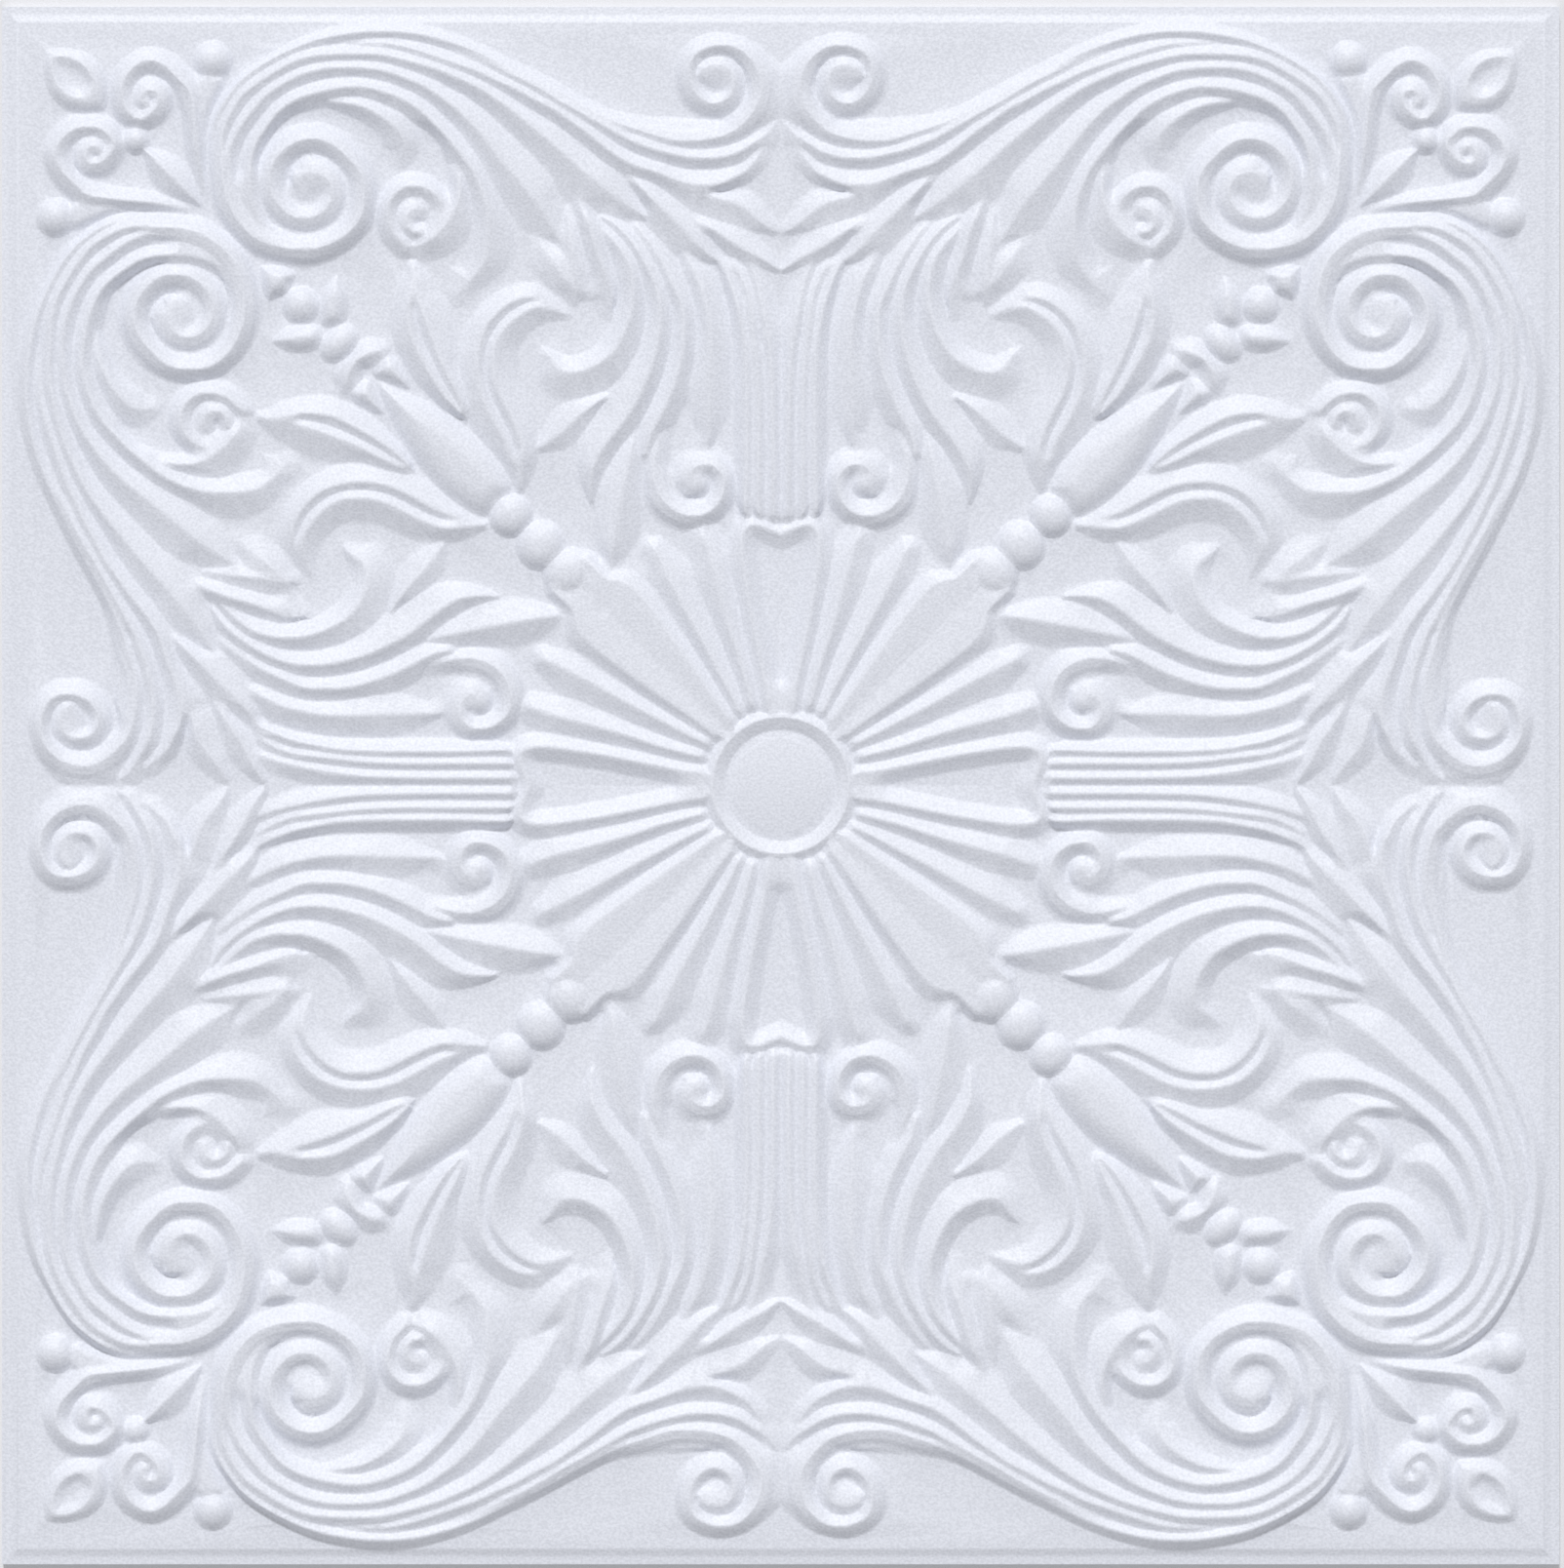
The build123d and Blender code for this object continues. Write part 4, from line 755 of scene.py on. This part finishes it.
def fine_net():
    """One eighth as a fine triangle net."""
    index = -np.ones((n, n), int)
    keep = gb >= ga - TINY
    index[keep] = np.arange(keep.sum())
    verts = np.stack([ga[keep], gb[keep], surface[keep]], 1)
    i, j = np.nonzero(keep[:-1, :-1] & keep[:-1, 1:])
    upper = np.stack([index[i, j], index[i + 1, j + 1], index[i, j + 1]], 1)
    lower = np.stack([index[i, j], index[i + 1, j], index[i + 1, j + 1]], 1)
    lower = lower[(lower >= 0).all(1)]
    return verts, np.vstack([upper, lower])


def thinned(verts, faces):
    """The net thinned where it is flat: its points, triangles and border points."""
    net = bpy.data.meshes.new("net")
    net.from_pydata(verts.tolist(), [], faces.tolist())
    holder = bpy.data.objects.new("net", net)
    bpy.context.collection.objects.link(holder)
    thin = holder.modifiers.new("thin", "DECIMATE")
    thin.ratio = TRIANGLES_AN_EIGHTH / len(faces)
    graph = bpy.context.evaluated_depsgraph_get()
    cut = bpy.data.meshes.new_from_object(holder.evaluated_get(graph))
    bpy.data.objects.remove(holder)
    bm = bmesh.new()
    bm.from_mesh(cut)
    bmesh.ops.triangulate(bm, faces=bm.faces[:])
    bm.verts.index_update()
    pts = np.array([v.co[:] for v in bm.verts])
    tris = np.array([[v.index for v in f.verts] for f in bm.faces])
    border = np.array([v.index for v in bm.verts if v.is_boundary])
    bm.free()
    bpy.data.meshes.remove(cut)
    bpy.data.meshes.remove(net)
    return pts, tris, border


def straighten(pts, border):
    """Border points go exactly onto the centre line, the diagonal or the tile's edge."""
    for v in border:
        a, b = pts[v, :2]
        nearest = int(np.argmin([abs(a), abs(b - a) / sqrt(2), abs(HALF - b)]))
        if nearest == 0:
            a = 0.0
        elif nearest == 1:
            a = b = (a + b) / 2
        else:
            b = HALF
        pts[v, :2] = a, b
    for corner in [(0, 0), (0, HALF), (HALF, HALF)]:
        v = border[np.hypot(*(pts[border, :2] - corner).T).argmin()]
        pts[v, :2] = corner


def sample(grid, a, b):
    """Values of a grid between its points."""
    x, y = np.clip(a / CELL, 0, n - 1.001), np.clip(b / CELL, 0, n - 1.001)
    i, j = x.astype(int), y.astype(int)
    u, v = x - i, y - j
    return ((grid[i, j] * (1 - u) + grid[i + 1, j] * u) * (1 - v)
            + (grid[i, j + 1] * (1 - u) + grid[i + 1, j + 1] * u) * v)


def slopes(a, b):
    """The slopes of the surface at the points, even across the lines of symmetry."""
    slope_a, slope_b = np.gradient(surface, CELL)
    slope_a[0] = 0
    tilt_a, tilt_b = sample(slope_a, a, b), sample(slope_b, a, b)
    tilt_a[a < SAME_PLACE] = 0
    on_diagonal = np.abs(a - b) < SAME_PLACE
    mean = (tilt_a + tilt_b) / 2
    tilt_a[on_diagonal], tilt_b[on_diagonal] = mean[on_diagonal], mean[on_diagonal]
    return tilt_a, tilt_b


def eight_copies(pts, tris, tilt_a, tilt_b):
    """The whole face, welded: x and y change signs, and the two coordinates change places."""
    all_pts, all_tris, all_normals = [], [], []
    for swap in (False, True):
        for sx in (1, -1):
            for sy in (1, -1):
                x, y, nx, ny = pts[:, 0], pts[:, 1], -tilt_a, -tilt_b
                if swap:
                    x, y, nx, ny = y, x, ny, nx
                turned = tris if (sx * sy > 0) != swap else tris[:, ::-1]
                all_tris.append(turned + len(all_pts) * len(pts))
                all_pts.append(np.stack([sx * x, sy * y, pts[:, 2]], 1))
                all_normals.append(np.stack([sx * nx, sy * ny, np.ones(len(pts))], 1))
    all_pts, all_tris, all_normals = np.vstack(all_pts), np.vstack(all_tris), np.vstack(all_normals)
    all_normals /= np.linalg.norm(all_normals, axis=1)[:, None]
    key = np.round(all_pts[:, :2] * MM).astype(np.int64)
    _, first, back = np.unique(key, axis=0, return_index=True, return_inverse=True)
    all_tris = back.reshape(-1)[all_tris]
    corners = all_tris.T
    good = (corners[0] != corners[1]) & (corners[1] != corners[2]) & (corners[0] != corners[2])
    return all_pts[first], all_tris[good], all_normals[first]


def wall_and_back(pts):
    """Points and faces of the straight walls and the flat back."""
    outer = np.nonzero(np.abs(pts[:, :2]).max(1) > HALF - SAME_PLACE)[0]
    outer = outer[np.argsort(np.arctan2(pts[outer, 1], pts[outer, 0]))]
    base, count = len(pts), len(outer)
    hub = base + count
    more_pts = np.vstack([pts[outer] * [1, 1, 0], [[0, 0, 0]]])
    walls = [(outer[(i + 1) % count], outer[i], base + i, base + (i + 1) % count) for i in range(count)]
    backs = [(hub, base + (i + 1) % count, base + i) for i in range(count)]
    return more_pts, walls + backs


def tile_mesh():
    """The whole tile as a closed mesh with smooth normals on its face."""
    pts, tris, border = thinned(*fine_net())
    straighten(pts, border)
    pts[:, 2] = sample(surface, pts[:, 0], pts[:, 1])
    face_pts, face_tris, face_normals = eight_copies(pts, tris, *slopes(pts[:, 0], pts[:, 1]))
    more_pts, more_faces = wall_and_back(face_pts)
    mesh = bpy.data.meshes.new("ceiling_tile")
    mesh.from_pydata((np.vstack([face_pts, more_pts]) / MM).tolist(), [], face_tris.tolist() + more_faces)
    mesh.validate()
    mesh.shade_smooth()
    loop_normals = []
    for poly in mesh.polygons:
        if poly.index < len(face_tris):
            loop_normals += [tuple(face_normals[v]) for v in poly.vertices]
        else:
            loop_normals += [tuple(poly.normal)] * len(poly.vertices)
    mesh.normals_split_custom_set(loop_normals)
    return mesh


def linear(r, g, b):
    """A colour as the shader takes it, from its screen values of 0 to 255."""
    return tuple(((c / 255 + 0.055) / 1.055) ** 2.4 for c in (r, g, b)) + (1.0,)


def foam_skin():
    """Matt white foam with a fine pearly grain in its tone and in a slight bump."""
    foam = bpy.data.materials.new("foam_skin")
    foam.use_nodes = True
    nodes, links = foam.node_tree.nodes, foam.node_tree.links
    shader = nodes["Principled BSDF"]
    shader.inputs["Base Color"].default_value = linear(233, 236, 246)
    shader.inputs["Roughness"].default_value = 0.5
    shader.inputs["Specular IOR Level"].default_value = 0.42
    place = nodes.new("ShaderNodeTexCoord")
    grain = nodes.new("ShaderNodeTexNoise")
    grain.inputs["Scale"].default_value = 1150
    grain.inputs["Detail"].default_value = 3
    links.new(place.outputs["Object"], grain.inputs["Vector"])
    spread = nodes.new("ShaderNodeMapRange")
    spread.inputs["From Min"].default_value = 0.36
    spread.inputs["From Max"].default_value = 0.64
    links.new(grain.outputs["Fac"], spread.inputs["Value"])
    tone = nodes.new("ShaderNodeMix")
    tone.data_type = "RGBA"
    tone.inputs["A"].default_value = linear(228, 231, 241)
    tone.inputs["B"].default_value = linear(242, 245, 255)
    links.new(spread.outputs["Result"], tone.inputs["Factor"])
    links.new(tone.outputs["Result"], shader.inputs["Base Color"])
    bump = nodes.new("ShaderNodeBump")
    bump.inputs["Strength"].default_value = 0.6
    bump.inputs["Distance"].default_value = 0.00025
    links.new(grain.outputs["Fac"], bump.inputs["Height"])
    links.new(bump.outputs["Normal"], shader.inputs["Normal"])
    return foam


def add(name, data):
    """A new object in the scene."""
    thing = bpy.data.objects.new(name, data)
    bpy.context.collection.objects.link(thing)
    return thing


def add_floor(reach_m=3, roughness=0.9):
    """A plain pale floor."""
    paint = bpy.data.materials.new("pale_floor")
    paint.use_nodes = True
    shader = paint.node_tree.nodes["Principled BSDF"]
    shader.inputs["Base Color"].default_value = linear(238, 238, 240)
    shader.inputs["Roughness"].default_value = roughness
    corners = [(x * reach_m, y * reach_m, 0) for x, y in ((-1, -1), (1, -1), (1, 1), (-1, 1))]
    mesh = bpy.data.meshes.new("floor")
    mesh.from_pydata(corners, [], [(0, 1, 2, 3)])
    mesh.materials.append(paint)
    add("floor", mesh)


def add_light(sky=0.445, sun=1.93, sun_size=9, from_top=46, from_left=6):
    """Soft even light, and a broad sun from the top edge and a little from the left."""
    world = bpy.data.worlds.new("soft")
    bpy.context.scene.world = world
    world.use_nodes = True
    world.node_tree.nodes["Background"].inputs["Color"].default_value = (1, 1, 1, 1)
    world.node_tree.nodes["Background"].inputs["Strength"].default_value = sky
    lamp = bpy.data.lights.new("window", "SUN")
    lamp.energy = sun
    lamp.angle = radians(sun_size)
    add("window", lamp).rotation_euler = (radians(-from_top), radians(-from_left), 0)


def add_camera(height=3.0, aside=(0.0004, 0.0005), face_height=0.009, picture_width=0.5013, sensor=36):
    """A long lens straight above the tile, which shows the tile from edge to edge."""
    camera = bpy.data.cameras.new("eye")
    camera.sensor_fit = "HORIZONTAL"
    camera.sensor_width = sensor
    camera.lens = sensor * (height - face_height) / picture_width
    above = add("eye", camera)
    above.location = (*aside, height)
    bpy.context.scene.camera = above


mesh = tile_mesh()
mesh.materials.append(foam_skin())
tile = add("ceiling_tile_face", mesh)
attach(tile, "root")
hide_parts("tile")
add_floor()
add_light()
add_camera()
bpy.context.scene.view_settings.view_transform = "Standard"
